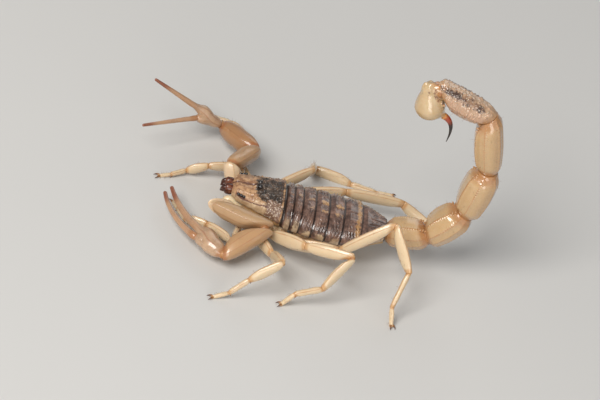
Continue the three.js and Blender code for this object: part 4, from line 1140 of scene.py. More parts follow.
CHEST_STATIONS = np.array(
    [
        [-5.7, 1.5, 2.2, 3.6],
        [-4.6, 2.1, 1.5, 3.8],
        [-2.5, 2.7, 1.25, 3.6],
        [0.2, 2.7, 1.2, 3.05],
        [1.5, 2.0, 1.3, 3.0],
        [1.9, 1.2, 1.6, 2.9],
    ]
)
HIP_STYLE = limb_style(
    0.66, 0.82,
    ((0, 1.25), (0.6, 1.12), (0.9, 1.0), (1, 0.86)),
    ((0, 1.1), (0.6, 1.02), (0.9, 0.96), (1, 0.82)),
    keels=((90, 12, 0.06, 7), (-60, 10, 0.04, 6), (-120, 10, 0.04, 6)),
)
CHEEK_STATIONS = np.array(
    [[-6.2, 1.7, 3.5, 4.7], [-4.0, 2.5, 3.0, 4.6], [-2.0, 3.0, 2.7, 4.4], [0.4, 3.35, 2.9, 4.4]]
)
CHEEK_ENDS = ((-5.2, 1.7, 3.5), (-7.75, 1.85, 4.1))
ARM_HIP_STYLE = limb_style(
    1.2, 1.1,
    ((0, 0.65), (0.6, 0.75), (0.9, 0.9), (1, 0.88)),
    ((0, 0.9), (0.6, 1.0), (0.9, 0.96), (1, 0.88)),
    keels=((60, 10, 0.05, 6), (120, 10, 0.05, 6)),
)


def loft(stations, rows, columns, power):
    """A closed body along x: at each x a superellipse between low and high, with its ends rounded off."""
    x0, x1 = stations[0, 0], stations[-1, 0]
    t, ends = rounded(rows, 0.35 / abs(x1 - x0))
    x = x0 + t * (x1 - x0)
    half, low, high = (through(list(zip(stations[:, 0], stations[:, k])), x) for k in (1, 2, 3))
    q = turns(columns)
    cos_q, sin_q = squarish(q, power)
    y = (half * ends)[:, None] * cos_q
    z = ((low + high) / 2)[:, None] + ((high - low) / 2 * ends)[:, None] * sin_q
    return surface_points(x, y, z), t


def chest_shells():
    """The breastplate and the hips that the legs and arms grow from."""
    rings, t = loft(CHEST_STATIONS, 60, 72, 0.6)
    shells = [ring_shell(rings, {"along": t[:, None]})]
    for side, sign in SIDES:
        for number, root in enumerate(LEG_ROOTS):
            end = np.array([root[0], sign * root[1], root[2]])
            start = np.array([root[0] + (-0.8 - root[0]) * 0.25, sign * 0.7, 2.2])
            heading, pitch = LEG_POSES[side][number][0]
            after = hip_after(unit(end - start), hip_direction(end), heading_direction(heading, pitch, sign))
            shells.append(limb_piece(start, end, None, after, HIP_STYLE, LEG_SIZES[number], rows=40))
        end = np.array([ARM_ROOT[0], sign * ARM_ROOT[1], ARM_ROOT[2]])
        start = np.array([-3.9, sign * 0.9, 2.9])
        heading, pitch = ARM_POSES[side]["pieces"][0]
        onward = heading_direction(heading, pitch, sign)
        after = hip_after(unit(end - start), arm_hip_direction(sign), onward)
        shells.append(limb_piece(start, end, None, after, ARM_HIP_STYLE, 1.0, rows=44, columns=56))
    return shells


def cheek_shells():
    """The lobes of the arm hips beside the jaws: egg-shaped tubes that point forwards."""
    shells = []
    for _, sign in SIDES:
        start, end = (np.array([x, sign * y, z]) for x, y, z in CHEEK_ENDS)
        t, ends = rounded(48, 0.3)
        size = through(((0, 0.8), (0.5, 1.0), (1, 0.9)), t) * ends
        path = start + t[:, None] * (end + 0.12 * (end - start) / 3 - start)
        across = unit(np.cross(UP, end - start))
        shells.append(path_tube(path, 0.65 * size, 0.85 * size, across, None, 48))
    return shells


def cheek_shell():
    """The soft skin between the head shield and the hips: a low rounded body under the shield."""
    rings, t = loft(CHEEK_STATIONS, 70, 90, 0.55)
    return ring_shell(rings, {"along": t[:, None]})


def comb_shells(sign):
    """A comb: a plated bar on a straight path and a row of blunt teeth on its hind edge."""
    start, end = np.array([3.1, sign * 0.95, 0.66]), np.array([5.9, sign * 3.2, 0.66])
    t, ends = rounded(44, 0.1)
    path = start + t[:, None] * (end - start)
    plates = 1 + 0.05 * np.cos(t * 2 * math.pi * 5)
    wide = through(((0, 0.36), (0.3, 0.42), (1, 0.24)), t) * ends * plates
    over = 0.25 * ends * plates
    shells = [path_tube(path, wide, over, unit(np.cross(UP, end - start)), None, 24)]
    along = unit(end - start)
    hind = np.array([abs(along[1]), -sign * along[0], 0.0])
    count = 20
    for i in range(count):
        foot = start + (end - start) * (i + 0.7) / (count + 0.4)
        t, ends = rounded(12, 0.12)
        path = foot + t[:, None] * hind * (1.1 + 0.12 * math.sin(math.pi * i / count))
        path[:, 2] -= 0.1 * t**2
        shells.append(path_tube(path, 0.062 * ends, 0.2 * ends, along, {"along": 1.0}, 12))
    return shells


# ------------------------------------------------------------------ arms

ARM_STYLES = (
    limb_style(
        1.15, 1.1,
        ((0, 0.78), (0.2, 0.92), (0.5, 1.0), (0.8, 0.96), (1, 0.82)),
        None,
        keels=((70, 8, 0.04, 7), (110, 8, 0.04, 7), (-90, 10, 0.03, 6)),
    ),
    limb_style(
        1.15, 1.2,
        ((0, 0.55), (0.06, 0.72), (0.15, 0.86), (0.5, 1.0), (0.85, 0.95), (0.95, 0.8), (1, 0.62)),
        ((0, 0.65), (0.06, 0.8), (0.15, 0.91), (0.5, 1.0), (0.85, 0.95), (0.95, 0.84), (1, 0.7)),
        square=0.9,
        keels=(
            (45, 5, 0.045, 17), (135, 5, 0.045, 17), (-45, 5, 0.04, 17), (-135, 5, 0.04, 17),
            (180, 5, 0.025, 12),
        ),
    ),
    limb_style(
        1.35, 1.3,
        ((0, 0.55), (0.06, 0.72), (0.15, 0.86), (0.45, 1.0), (0.82, 0.86), (0.94, 0.7), (1, 0.55)),
        ((0, 0.62), (0.06, 0.76), (0.15, 0.89), (0.45, 1.0), (0.82, 0.88), (0.94, 0.72), (1, 0.58)),
        square=0.92,
        keels=(
            (50, 4, 0.045, 20), (130, 4, 0.045, 20), (-45, 4, 0.04, 18), (-135, 4, 0.04, 18),
            (90, 4, 0.03, 16), (180, 4, 0.03, 9),
        ),
    ),
)
ARM_NAMES = ("trochanter", "femur", "patella")
PALM_WIDTH = 1.12
PALM_HEIGHT = 1.35
PALM_WIDE = ((0, 0.5), (0.12, 0.8), (0.38, 1.0), (0.7, 0.98), (0.9, 0.8), (1.1, 0.55))
PALM_HIGH = ((0, 0.45), (0.12, 0.72), (0.38, 0.95), (0.7, 1.0), (0.9, 0.85), (1.1, 0.6))
FINGER_SIZE = (0.46, 0.44)
FINGER_TIP = (0.22, 0.25)
CAP_RINGS = 7


class Arm:
    """An arm's joints and directions, and the plane in which its fingers open."""

    def __init__(self, side, sign):
        pose = ARM_POSES[side]
        self.sign = sign
        self.pose = pose
        self.directions = [heading_direction(h, p, sign) for h, p in pose["pieces"]]
        root = (ARM_ROOT[0], sign * ARM_ROOT[1], ARM_ROOT[2])
        self.joints = chain(root, ARM_LENGTHS, self.directions)
        self.axis = self.directions[3]
        level = unit(np.cross(self.axis, UP)) * sign
        lift = unit(np.cross(level, self.axis) * sign)
        roll = math.radians(pose["roll"])
        self.open_side = level * math.cos(roll) + lift * math.sin(roll)
        self.across = unit(np.cross(self.axis, self.open_side))
        outward = np.dot(np.cross(self.axis, self.across), self.open_side) > 0
        self.open_angle = math.pi / 2 if outward else -math.pi / 2

    def finger_path(self, root, swing, bend, length, count):
        """A curve whose heading turns evenly from swing to swing + bend, as a running sum of steps."""
        turn = np.radians(swing + bend * (np.arange(count) + 0.5) / count)[:, None]
        steps = np.cos(turn) * self.axis + np.sin(turn) * self.open_side
        return np.vstack([root, root + np.cumsum(steps * length / count, 0)])

    def hand_path(self):
        """From the wrist along the palm's axis, easing over to the fixed finger and along it."""
        along, side, _ = FIXED_ROOT
        palm = ARM_LENGTHS[3] + along
        s = np.linspace(0, palm, 50)[:, None]
        shift = side * smooth(s, 0.5 * palm, palm)
        middle = self.joints[3] + 0.06 * self.axis + s * self.axis * (palm - 0.06) / palm
        wrist = middle + shift * self.open_side
        fixed = self.finger_path(wrist[-1], self.pose["swing"], self.pose["bend"], FINGER_LENGTH - along, 80)
        return np.vstack([wrist, fixed[1:]])

    def moving_path(self):
        along, side, _ = MOVING_ROOT
        root = self.joints[4] + along * self.axis + side * self.open_side
        swing = self.pose["swing"] + self.pose["opening"]
        return self.finger_path(root, swing, self.pose["bend"] * 1.3, FINGER_LENGTH - along, 80)

    def finger_radii(self, share, root_scale):
        """Across and in the fingers' plane: straight tapers from the root's scale to the tip's size."""
        roots = (size * root_scale for size in FINGER_SIZE)
        return [self.pose["finger"] * (root + (tip - root) * share) for root, tip in zip(roots, FINGER_TIP)]


def path_share(path):
    """Length along a path at each of its points."""
    return np.concatenate([[0], np.cumsum(np.linalg.norm(np.diff(path, axis=0), axis=1))])


def finger_relief(s, q, face, start, beads):
    """Denticles: a beaded line along the face that looks to the other finger."""
    line = bell(off_angle(q, face), 0, 0.3) * smooth(s, start, start + 0.6)[:, None]
    return line * (0.08 + 0.12 * (0.5 + 0.5 * np.sin(s * 2 * math.pi / beads))[:, None])


def end_caps(path, pair):
    """Adds rings that close both ends of a tube like half globes: extra path points and radii."""
    a = np.linspace(0.1, 1, CAP_RINGS) * math.pi / 2
    ends, reach = np.sin(a), np.cos(a)[:, None]
    front = path[0] - reach * unit(path[1] - path[0]) * pair[0][0] * 0.8
    back = path[-1] + reach[::-1] * unit(path[-1] - path[-2]) * pair[0][-1] * 0.9
    rounded_pair = [np.concatenate([ends[:-1] * r[0], r, ends[::-1][1:] * r[-1]]) for r in pair]
    return np.vstack([front[:-1], path, back[1:]]), rounded_pair


def hand_shells(arm):
    """The hand: palm and fixed finger on one smooth path, with keels and denticles, and a swelling along
    its other side that ends as the moving finger's socket. The radii pass from the palm's to the
    finger's as the path leaves the palm.
    """
    path = arm.hand_path()
    s = path_share(path)
    palm = ARM_LENGTHS[3]
    leave = smooth(s, 0.76 * palm, 1.2 * palm)
    finger_share = np.clip((s - palm - FIXED_ROOT[0]) / (FINGER_LENGTH - FIXED_ROOT[0]), 0, 1)
    finger = arm.finger_radii(finger_share, FIXED_ROOT[2])
    wide = PALM_WIDTH * arm.pose["palm"] * through(PALM_WIDE, s / palm)
    high = PALM_HEIGHT * arm.pose["palm"] * through(PALM_HIGH, s / palm)
    pair = [own + (slim - own) * leave for own, slim in zip((wide, high), finger)]
    path, pair = end_caps(path, pair)
    s = path_share(path)
    s = s - s[CAP_RINGS - 1]
    columns = 112
    q = turns(columns)
    relief = finger_relief(s, q, arm.open_angle, 5.4, 0.24)
    keel = np.zeros(relief.shape)
    fade = smooth(s, 0.5, 1.2) * (1 - smooth(s, 4.4, 6.4))
    for angle in (25, 155, 205, 335, 90, 270):
        line = bell(off_angle(q, math.radians(angle)), 0, 0.1) * fade[:, None]
        keel = np.maximum(keel, line * (1.0 if angle in (25, 335) else 0.5))
        relief = relief + 0.025 * line
    values = {
        "along": np.clip(s / 12.6, 0, 1)[:, None],
        "keel": keel,
        "mark": np.maximum(1 - smooth(s, 0.1, 0.7), 0.5 * smooth(s, 4.2, 5.6))[:, None],
        "tone": smooth(s, 9.0, 11.6)[:, None],
    }
    shells = [path_tube(path, *pair, arm.across, values, columns, relief)]
    start = arm.joints[3] + 0.9 * arm.axis
    end = arm.joints[4] - 0.25 * arm.axis + 0.6 * arm.open_side
    t, ends = rounded(48, 0.3)
    size = arm.pose["palm"] ** 0.5 * through(((0, 0.6), (0.55, 0.86), (1, 0.74)), t) * ends
    side_values = {"mark": 0.5 * smooth(t, 0.6, 1.0)[:, None], "along": 0.4}
    shells.append(path_tube(start + t[:, None] * (end - start), size, size, arm.across, side_values, 48))
    return shells


def finger_shells(arm):
    """The movable finger: a tapering tube with a knobbed root and a line of denticles."""
    path = arm.moving_path()
    s = path_share(path)
    length = FINGER_LENGTH - MOVING_ROOT[0]
    knob = 1 + 0.16 * bell(s, 0.3, 0.5)
    pair = [radius * knob for radius in arm.finger_radii(s / length, MOVING_ROOT[2])]
    path, pair = end_caps(path, pair)
    s = path_share(path) - 0.4
    columns = 56
    relief = finger_relief(s, turns(columns), -arm.open_angle, 0.9, 0.24)
    values = {
        "along": np.clip(s / length, 0, 1)[:, None],
        "mark": (1 - 0.5 * smooth(s, 0.3, 1.3))[:, None],
        "tone": smooth(s, 5.4, 7.8)[:, None],
    }
    return [path_tube(path, *pair, arm.across, values, columns, relief)]


def arm_shells(arm):
    """The arm's hip ring, upper and lower pieces as limb pieces between its joints."""
    shells = []
    for k, style in enumerate(ARM_STYLES):
        before = arm_hip_direction(arm.sign) if k == 0 else arm.directions[k - 1]
        start, end, after = arm.joints[k], arm.joints[k + 1], arm.directions[k + 1]
        piece = limb_piece(start, end, before, after, style, gap=0.14, rows=90, columns=88)
        piece.values["tone"] = np.zeros(len(piece.points))
        shells.append(piece)
    return shells


# ------------------------------------------------------------------ legs

LEG_NAMES = ("trochanter", "femur", "patella", "tibia", "basitarsus", "telotarsus")
LEG_STYLES = {
    "trochanter": limb_style(
        0.5, 0.62,
        ((0, 0.88), (0.5, 1.02), (1, 0.85)),
        None,
        keels=((90, 16, 0.06, 5), (-90, 16, 0.05, 4)),
    ),
    "femur": limb_style(
        0.5, 0.95,
        ((0, 0.82), (0.2, 1.0), (0.55, 1.0), (0.85, 0.94), (1, 0.8)),
        ((0, 0.58), (0.1, 0.8), (0.3, 0.96), (0.55, 1.0), (0.8, 0.88), (0.93, 0.7), (1, 0.54)),
        keels=((90, 11, 0.05, 18), (-90, 11, 0.07, 18), (55, 9, 0.03, 0), (125, 9, 0.03, 0)),
    ),
    "patella": limb_style(
        0.5, 0.86,
        ((0, 0.8), (0.2, 1.0), (0.5, 1.0), (0.85, 0.98), (1, 0.8)),
        ((0, 0.6), (0.1, 0.8), (0.3, 0.97), (0.55, 1.0), (0.8, 0.88), (0.93, 0.74), (1, 0.6)),
        keels=((90, 10, 0.05, 0), (-90, 11, 0.06, 16), (50, 8, 0.035, 0), (130, 8, 0.035, 0)),
    ),
    "tibia": limb_style(
        0.52, 0.9,
        ((0, 0.82), (0.2, 1.0), (0.6, 1.0), (0.88, 0.84), (1, 0.68)),
        ((0, 0.6), (0.12, 0.76), (0.4, 0.95), (0.65, 1.0), (0.85, 0.82), (1, 0.52)),
        keels=((90, 12, 0.04, 0), (-90, 12, 0.05, 12)),
    ),
    "basitarsus": limb_style(
        0.36, 0.42,
        ((0, 0.86), (0.15, 1.04), (0.5, 0.96), (0.9, 0.92), (1, 0.78)),
        ((0, 0.86), (0.15, 1.04), (0.5, 0.96), (0.9, 0.92), (1, 0.76)),
        keels=((50, 14, 0.04, 8), (130, 14, 0.04, 8)),
    ),
    "telotarsus": limb_style(
        0.28, 0.32,
        ((0, 0.86), (0.2, 1.04), (0.6, 1.0), (1, 0.84)),
        ((0, 0.86), (0.2, 1.04), (0.6, 1.04), (1, 0.86)),
        dome=0.22,
    ),
}


class Leg:
    """A leg's joints and directions; the last piece reaches down to the floor."""

    def __init__(self, side, sign, number):
        root, lengths, pose = LEG_ROOTS[number], LEG_LENGTHS[number], LEG_POSES[side][number]
        self.name = f"leg_{side}_{number + 1}"
        self.size = LEG_SIZES[number]
        self.directions = [heading_direction(h, p, sign) for h, p in pose]
        self.joints = chain((root[0], sign * root[1], root[2]), lengths[:5], self.directions)
        drop = math.degrees(math.asin((FLOOR_TIP - self.joints[5][2]) / lengths[5]))
        self.directions[5] = heading_direction(pose[5][0], drop, sign)
        self.joints.append(self.joints[5] + lengths[5] * self.directions[5])
        self.seed = SEEDS["leg bristles"] + 10 * number + (5 if sign > 0 else 0)

    def piece(self, k):
        before = hip_direction(self.joints[0]) if k == 0 else self.directions[k - 1]
        after = self.directions[k + 1] if k < 5 else None
        rows = 30 if k in (0, 4, 5) else 72
        style = LEG_STYLES[LEG_NAMES[k]]
        start, end = self.joints[k], self.joints[k + 1]
        return limb_piece(start, end, before, after, style, self.size, gap=0.1, rows=rows, columns=48)


def claw_shells(leg):
    """Two claws on the leg's end, each a thin tube on a curve that rises and comes down to the floor."""
    level = unit([leg.directions[5][0], leg.directions[5][1], 0])
    across = np.cross(UP, level)
    shells = []
    for turn in (-1, 1):
        start = leg.joints[6] - 0.2 * leg.directions[5]
        tip = leg.joints[6] + 0.62 * level + 0.34 * turn * across
        tip[2] = 0.03
        handle = (start + tip) / 2 + np.array([0, 0, 0.3]) + 0.16 * turn * across
        path = bezier(start, handle, tip, 16)
        radii = taper(0.15, 0.012, 1.5, 16)
        shells.append(over_floor(path_tube(path, radii, radii, across, None, 10)))
    return shells


def spur_shells(leg):
    """The small spurs at the ends of the shin and the first foot piece."""
    feet, tips = [], []
    for k in (4, 5):
        joint, direction = leg.joints[k], leg.directions[k - 1]
        across, over = cross_frame(direction)
        for turn in (-1, 1):
            foot = joint - 0.12 * direction + turn * 0.2 * leg.size * across - 0.18 * leg.size * over
            feet.append(foot)
            tips.append(foot + 0.42 * unit(direction + 0.35 * turn * across - 0.75 * over))
    return [over_floor(spines(feet, tips, 0.075, 8), 0.01)]


# ------------------------------------------------------------------ what a user may change


class ScorpionSizes(bpy.types.PropertyGroup):
    """Sizes of the fine parts and of the stage."""

    bristle_length: bpy.props.FloatProperty(
        name="Bristle length", description="Length of the bristles, in millimetres",
        default=0.7, min=0.1, max=3.0,
    )
    skin_fullness: bpy.props.FloatProperty(
        name="Joint skin", description="How full the joint skins are, as a share of the joint", default=0.86,
        min=0.5, max=1.2, subtype="FACTOR",
    )
    floor_width: bpy.props.FloatProperty(
        name="Floor", description="Width of the floor", default=1.6, min=0.2, max=5.0, unit="LENGTH"
    )
    key_power: bpy.props.FloatProperty(
        name="Key light", description="Power of the key light", default=2.5, min=0.0, max=50.0, unit="POWER"
    )
    low_power: bpy.props.FloatProperty(
        name="Low light", description="Power of the low front light",
        default=0.55, min=0.0, max=50.0, unit="POWER",
    )
    fill_power: bpy.props.FloatProperty(
        name="Fill light", description="Power of the fill light",
        default=0.35, min=0.0, max=50.0, unit="POWER",
    )
    sky_strength: bpy.props.FloatProperty(
        name="Surrounding light", description="Strength of the even light from all round", default=0.2,
        min=0.0, max=5.0, subtype="FACTOR",
    )


class ScorpionFinishes(bpy.types.PropertyGroup):
    """Colours of the cuticle."""

    leg_pale: bpy.props.FloatVectorProperty(
        name="Legs", description="Colour of the legs between joints",
        default=(0.7, 0.54, 0.345), subtype="COLOR", size=3,
    )
    leg_deep: bpy.props.FloatVectorProperty(
        name="Knees", description="Colour of the legs at the joints",
        default=(0.56, 0.31, 0.13), subtype="COLOR", size=3,
    )
    arm_pale: bpy.props.FloatVectorProperty(
        name="Arms", description="Colour of the arms between joints",
        default=(0.49, 0.295, 0.15), subtype="COLOR", size=3,
    )
    hand_pale: bpy.props.FloatVectorProperty(
        name="Hands", description="Colour of the hands", default=(0.4, 0.25, 0.155), subtype="COLOR", size=3
    )
    tail_pale: bpy.props.FloatVectorProperty(
        name="Tail", description="Colour of the tail rings",
        default=(0.54, 0.36, 0.185), subtype="COLOR", size=3,
    )
    tail_deep: bpy.props.FloatVectorProperty(
        name="Tail keels", description="Colour of the tail's keels",
        default=(0.41, 0.19, 0.07), subtype="COLOR", size=3,
    )
    skin_pale: bpy.props.FloatVectorProperty(
        name="Skin", description="Colour of the soft skins",
        default=(0.56, 0.36, 0.17), subtype="COLOR", size=3,
    )


def sizes():
    return bpy.context.scene.scorpion_sizes


def shades(*names):
    """The cuticle's colours, by name."""
    return [tuple(getattr(bpy.context.scene.scorpion_finishes, name)) for name in names]


# ------------------------------------------------------------------ operators


class SCORPION_OT_head_shield(bpy.types.Operator):
    """Make the head shield"""

    bl_idname = "scorpion.head_shield"
    bl_label = "Head shield"

    def execute(self, context):
        make_piece("head_shield", [shield_shell()], shield_material(), ["carapace"])
        return {"FINISHED"}


class SCORPION_OT_eyes(bpy.types.Operator):
    """Make the two middle eyes and the side eyes"""

    bl_idname = "scorpion.eyes"
    bl_label = "Eyes"

    def execute(self, context):
        lens = eye_material()
        for side, sign in SIDES:
            make_piece(f"eye_{side}", eye_shells(sign), lens, [f"median_eye_{side}"])
        make_piece("side_eyes", side_eye_shells(), lens)
        return {"FINISHED"}


class SCORPION_OT_jaws(bpy.types.Operator):
    """Make the two jaws"""

    bl_idname = "scorpion.jaws"
    bl_label = "Jaws"

    def execute(self, context):
        horn = jaw_material()
        for side, sign in SIDES:
            make_piece(f"jaw_{side}", jaw_shells(sign), horn, [f"chelicera_{side}"])
        return {"FINISHED"}


class SCORPION_OT_chest(bpy.types.Operator):
    """Make the breastplate with its hips, and the soft skin above them"""

    bl_idname = "scorpion.chest"
    bl_label = "Chest"

    def execute(self, context):
        pale, deep = shades("leg_pale", "leg_deep")
        horn = horn_material("chest_horn", pale, deep, deep, 0.36, 7000, 0.25, 0.3)
        lobe = horn_material("lobe_horn", (0.82, 0.66, 0.42), pale, deep, 0.36, 7000, 0.25, 0.2)
        make_piece("chest", chest_shells(), horn, ["coxosternum"])
        make_piece("cheek_lobes", cheek_shells(), lobe)
        skin = skin_material("cheek_skin", *shades("skin_pale"), deep)
        make_piece("cheek_skin", [cheek_shell()], skin)
        return {"FINISHED"}


class SCORPION_OT_back_plates(bpy.types.Operator):
    """Make the seven back plates"""

    bl_idname = "scorpion.back_plates"
    bl_label = "Back plates"

    def execute(self, context):
        horn = back_material()
        for k in range(7):
            make_piece(f"back_plate_{k + 1}", [back_plate_shell(k)], horn, [f"mesosoma_{k + 1}"])
        return {"FINISHED"}


class SCORPION_OT_belly(bpy.types.Operator):
    """Make the soft flanks, the belly plates and the combs"""

    bl_idname = "scorpion.belly"
    bl_label = "Belly"

    def execute(self, context):
        pale, deep = shades("skin_pale", "leg_deep")
        skin = skin_material("flank_skin", (0.6, 0.43, 0.24), (0.36, 0.2, 0.1))
        make_piece("flank_skin", [flank_shell()], skin)
        horn = horn_material("belly_horn", (0.6, 0.42, 0.2), deep, (0.2, 0.1, 0.05), 0.3, 7000, 0.3, 0.35)
        for k in range(2, 7):
            make_piece(f"belly_plate_{k + 1}", [belly_plate_shell(k)], horn)
        comb = horn_material("comb_horn", (0.66, 0.5, 0.28), pale, deep, 0.4, 7000, 0.2, 0.2)
        for side, sign in SIDES:
            make_piece(f"comb_{side}", comb_shells(sign), comb, [f"pectine_{side}"])
        return {"FINISHED"}


class SCORPION_OT_tail(bpy.types.Operator):
    """Make the five tail rings with their keels and teeth"""

    bl_idname = "scorpion.tail"
    bl_label = "Tail"

    def execute(self, context):
        pale, deep = shades("tail_pale", "tail_deep")
        # The darker underside colour of tail rings one to four is painted shade on their outer side.
        horn = horn_material(
            "tail_horn", pale, deep, deep, 0.28, fleck=0.35, coat=1.0, under=(0.4, 0.2, 0.08)
        )
        last = horn_material(
            "last_ring_horn", (0.5, 0.31, 0.2), deep, (0.36, 0.17, 0.09), 0.28,
            fleck=0.5, coat=1.0, under=(0.6, 0.42, 0.26),
        )
        for k in range(5):
            shells = [tail_ring_shell(k), *tail_teeth(k)]
            finish = horn if k < 4 else last
            make_piece(f"tail_ring_{k + 1}", shells, finish, [f"metasoma_{k + 1}"])
        return {"FINISHED"}


class SCORPION_OT_bulb(bpy.types.Operator):
    """Make the venom bulb"""

    bl_idname = "scorpion.bulb"
    bl_label = "Venom bulb"

    def execute(self, context):
        make_piece("venom_bulb", [vesicle_shell()], bulb_material(), ["vesicle"])
        return {"FINISHED"}


class SCORPION_OT_sting(bpy.types.Operator):
    """Make the sting"""

    bl_idname = "scorpion.sting"
    bl_label = "Sting"

    def execute(self, context):
        make_piece("sting", [sting_shell()], sting_material(), ["aculeus"])
        return {"FINISHED"}


class SCORPION_OT_arms(bpy.types.Operator):
    """Make both pincer arms with their hands and fingers"""

    bl_idname = "scorpion.arms"
    bl_label = "Pincer arms"

    def execute(self, context):
        pale, hand_pale = shades("arm_pale", "hand_pale")
        deep, brown, tan = (0.36, 0.13, 0.045), (0.34, 0.18, 0.08), (0.5, 0.32, 0.17)
        # A darker copy of the arm colour for the far patella: painted shade.
        far_shaded_pale, far_shaded_keel = (0.4, 0.21, 0.095), (0.3, 0.13, 0.055)
        horn = horn_material("arm_horn", pale, deep, (0.4, 0.18, 0.08), 0.32, fleck=0.4, coat=0.6)
        far = horn_material("far_arm_horn", far_shaded_pale, deep, far_shaded_keel, 0.32, fleck=0.4, coat=0.6)
        # A darker, less glossy copy of the arm colour for the near femur: painted shade.
        near_femur_shaded_pale, near_femur_shaded_keel = (0.44, 0.28, 0.15), (0.34, 0.17, 0.08)
        upper = horn_material("upper_arm_horn", near_femur_shaded_pale, brown, near_femur_shaded_keel, 0.34, fleck=0.5)
        ring = horn_material("hip_ring_horn", (0.7, 0.52, 0.34), tan, tan, 0.36, fleck=0.6)
        hand = hand_material("hand_horn", hand_pale)
        for side, sign in SIDES:
            arm = Arm(side, sign)
            for name, shell in zip(ARM_NAMES, arm_shells(arm)):
                # The near femur and the far patella take the darker copies as painted shade.
                plain = {("left", "femur"): upper, ("right", "patella"): far}.get((side, name), horn)
                finish = ring if name == "trochanter" else plain
                make_piece(f"arm_{side}_{name}", [shell], finish, [f"pedipalp_{side}_{name}"])
            make_piece(f"arm_{side}_hand", hand_shells(arm), hand, [f"pedipalp_{side}_hand"])
            make_piece(f"arm_{side}_finger", finger_shells(arm), hand, [f"pedipalp_{side}_finger"])
        return {"FINISHED"}


class SCORPION_OT_legs(bpy.types.Operator):
    """Make the eight legs with their claws and spurs"""

    bl_idname = "scorpion.legs"
    bl_label = "Legs"

    def execute(self, context):
        pale, deep = shades("leg_pale", "leg_deep")
        horn = horn_material("leg_horn", pale, deep, (0.46, 0.22, 0.09), 0.34, coat=0.6)
        claw = claw_material()
        for side, sign in SIDES:
            for number in range(4):
                leg = Leg(side, sign, number)
                pieces = [over_floor(leg.piece(k)) for k in range(6)]
                make_piece(f"{leg.name}_thigh", pieces[:2], horn, [f"{leg.name}_femur"])
                make_piece(f"{leg.name}_knee", pieces[2:3], horn, [f"{leg.name}_patella"])
                make_piece(f"{leg.name}_shin", pieces[3:], horn, [f"{leg.name}_foot"])
                make_piece(f"{leg.name}_claws", claw_shells(leg) + spur_shells(leg), claw)
        return {"FINISHED"}


class SCORPION_OT_joint_skins(bpy.types.Operator):
    """Make the soft skins that show in the joints of tail, arms and legs"""

    bl_idname = "scorpion.joint_skins"
    bl_label = "Joint skins"

    def execute(self, context):
        skin = skin_material("joint_skin", (0.5, 0.26, 0.1), (0.3, 0.11, 0.035), 0.4, 3000)
        full = sizes().skin_fullness
        shells = []
        for side, sign in SIDES:
            for number in range(4):
                leg = Leg(side, sign, number)
                for k in range(6):
                    size = 0.44 if k < 4 else 0.26
                    radius = full * leg.size * size
                    shells.append(over_floor(ball(leg.joints[k], (radius, radius, radius), 12, 16)))
            arm = Arm(side, sign)
            for k, size in enumerate((0.95, 0.8, 0.75, 0.7)):
                radius = full * size
                shells.append(ball(arm.joints[k], (radius, radius, radius), 16, 24))
        make_piece("limb_skins", shells, skin)
        shells = []
        for k, joint in enumerate(TAIL_JOINTS):
            width = full * 0.68 * TAIL_HALF_WIDTHS[min(k, 4)]
            shells.append(ball(joint, (0.9 * width, width, 0.9 * width), 24, 32))
        make_piece("tail_skins", shells, skin)
        return {"FINISHED"}


class SCORPION_OT_bristles(bpy.types.Operator):
    """Make the sparse bristles of legs, arms and tail"""

    bl_idname = "scorpion.bristles"
    bl_label = "Bristles"

    def execute(self, context):
        horn = claw_material()
        length = sizes().bristle_length
        for side, sign in SIDES:
            shells = []
            for number in range(4):
                leg = Leg(side, sign, number)
                for k, count in ((1, 12), (2, 14), (3, 26), (4, 26), (5, 22)):
                    piece = leg.piece(k)
                    size = length * (0.75 if k < 3 else 0.6)
                    hairs = bristles(piece, *leg.joints[k : k + 2], leg.seed + k, count, size, 0.014)
                    shells.append(over_floor(hairs, 0.005))
            make_piece(f"leg_bristles_{side}", shells, horn)
            arm = Arm(side, sign)
            shells = []
            for k, piece in enumerate(arm_shells(arm)):
                seed, count = SEEDS["arm bristles"] + k, 10 + 6 * k
                shells.append(bristles(piece, *arm.joints[k : k + 2], seed, count, length, 0.016))
            make_piece(f"arm_bristles_{side}", shells, horn)
        shells = []
        for k in range(5):
            ring, seed = tail_ring_shell(k), SEEDS["tail bristles"] + k
            shells.append(bristles(ring, *TAIL_JOINTS[k : k + 2], seed, 16, length, 0.016, 0.3))
        make_piece("tail_bristles", shells, horn)
        return {"FINISHED"}


def set_up(name, data, axes, place):
    """Links a new light or camera with its three axes at a place in millimetres."""
    item = bpy.data.objects.new(name, data)
    matrix = np.eye(4)
    matrix[:3] = np.column_stack([*axes, put(place)])
    item.matrix_world = matrix.T.tolist()
    bpy.context.scene.collection.objects.link(item)
    return item


def soft_light(name, place, target, width, power, color):
    """A square area light that shines from a place at the target."""
    light = bpy.data.lights.new(name, "AREA")
    light.shape = "SQUARE"
    light.size, light.energy, light.color = width, power, color
    place = np.array(place, float)
    back = unit(place - target)
    right = unit(np.cross(UP, back))
    set_up(name, light, (right, np.cross(back, right), back), place)


VIEW = {"azimuth": -11, "elevation": 40, "roll": 22, "distance": 400, "lens": 187.2}
VIEW_MIDDLE = (0.0, 0.0, 6.4)
VIEW_SHIFT = (1.6667, -1.0256)


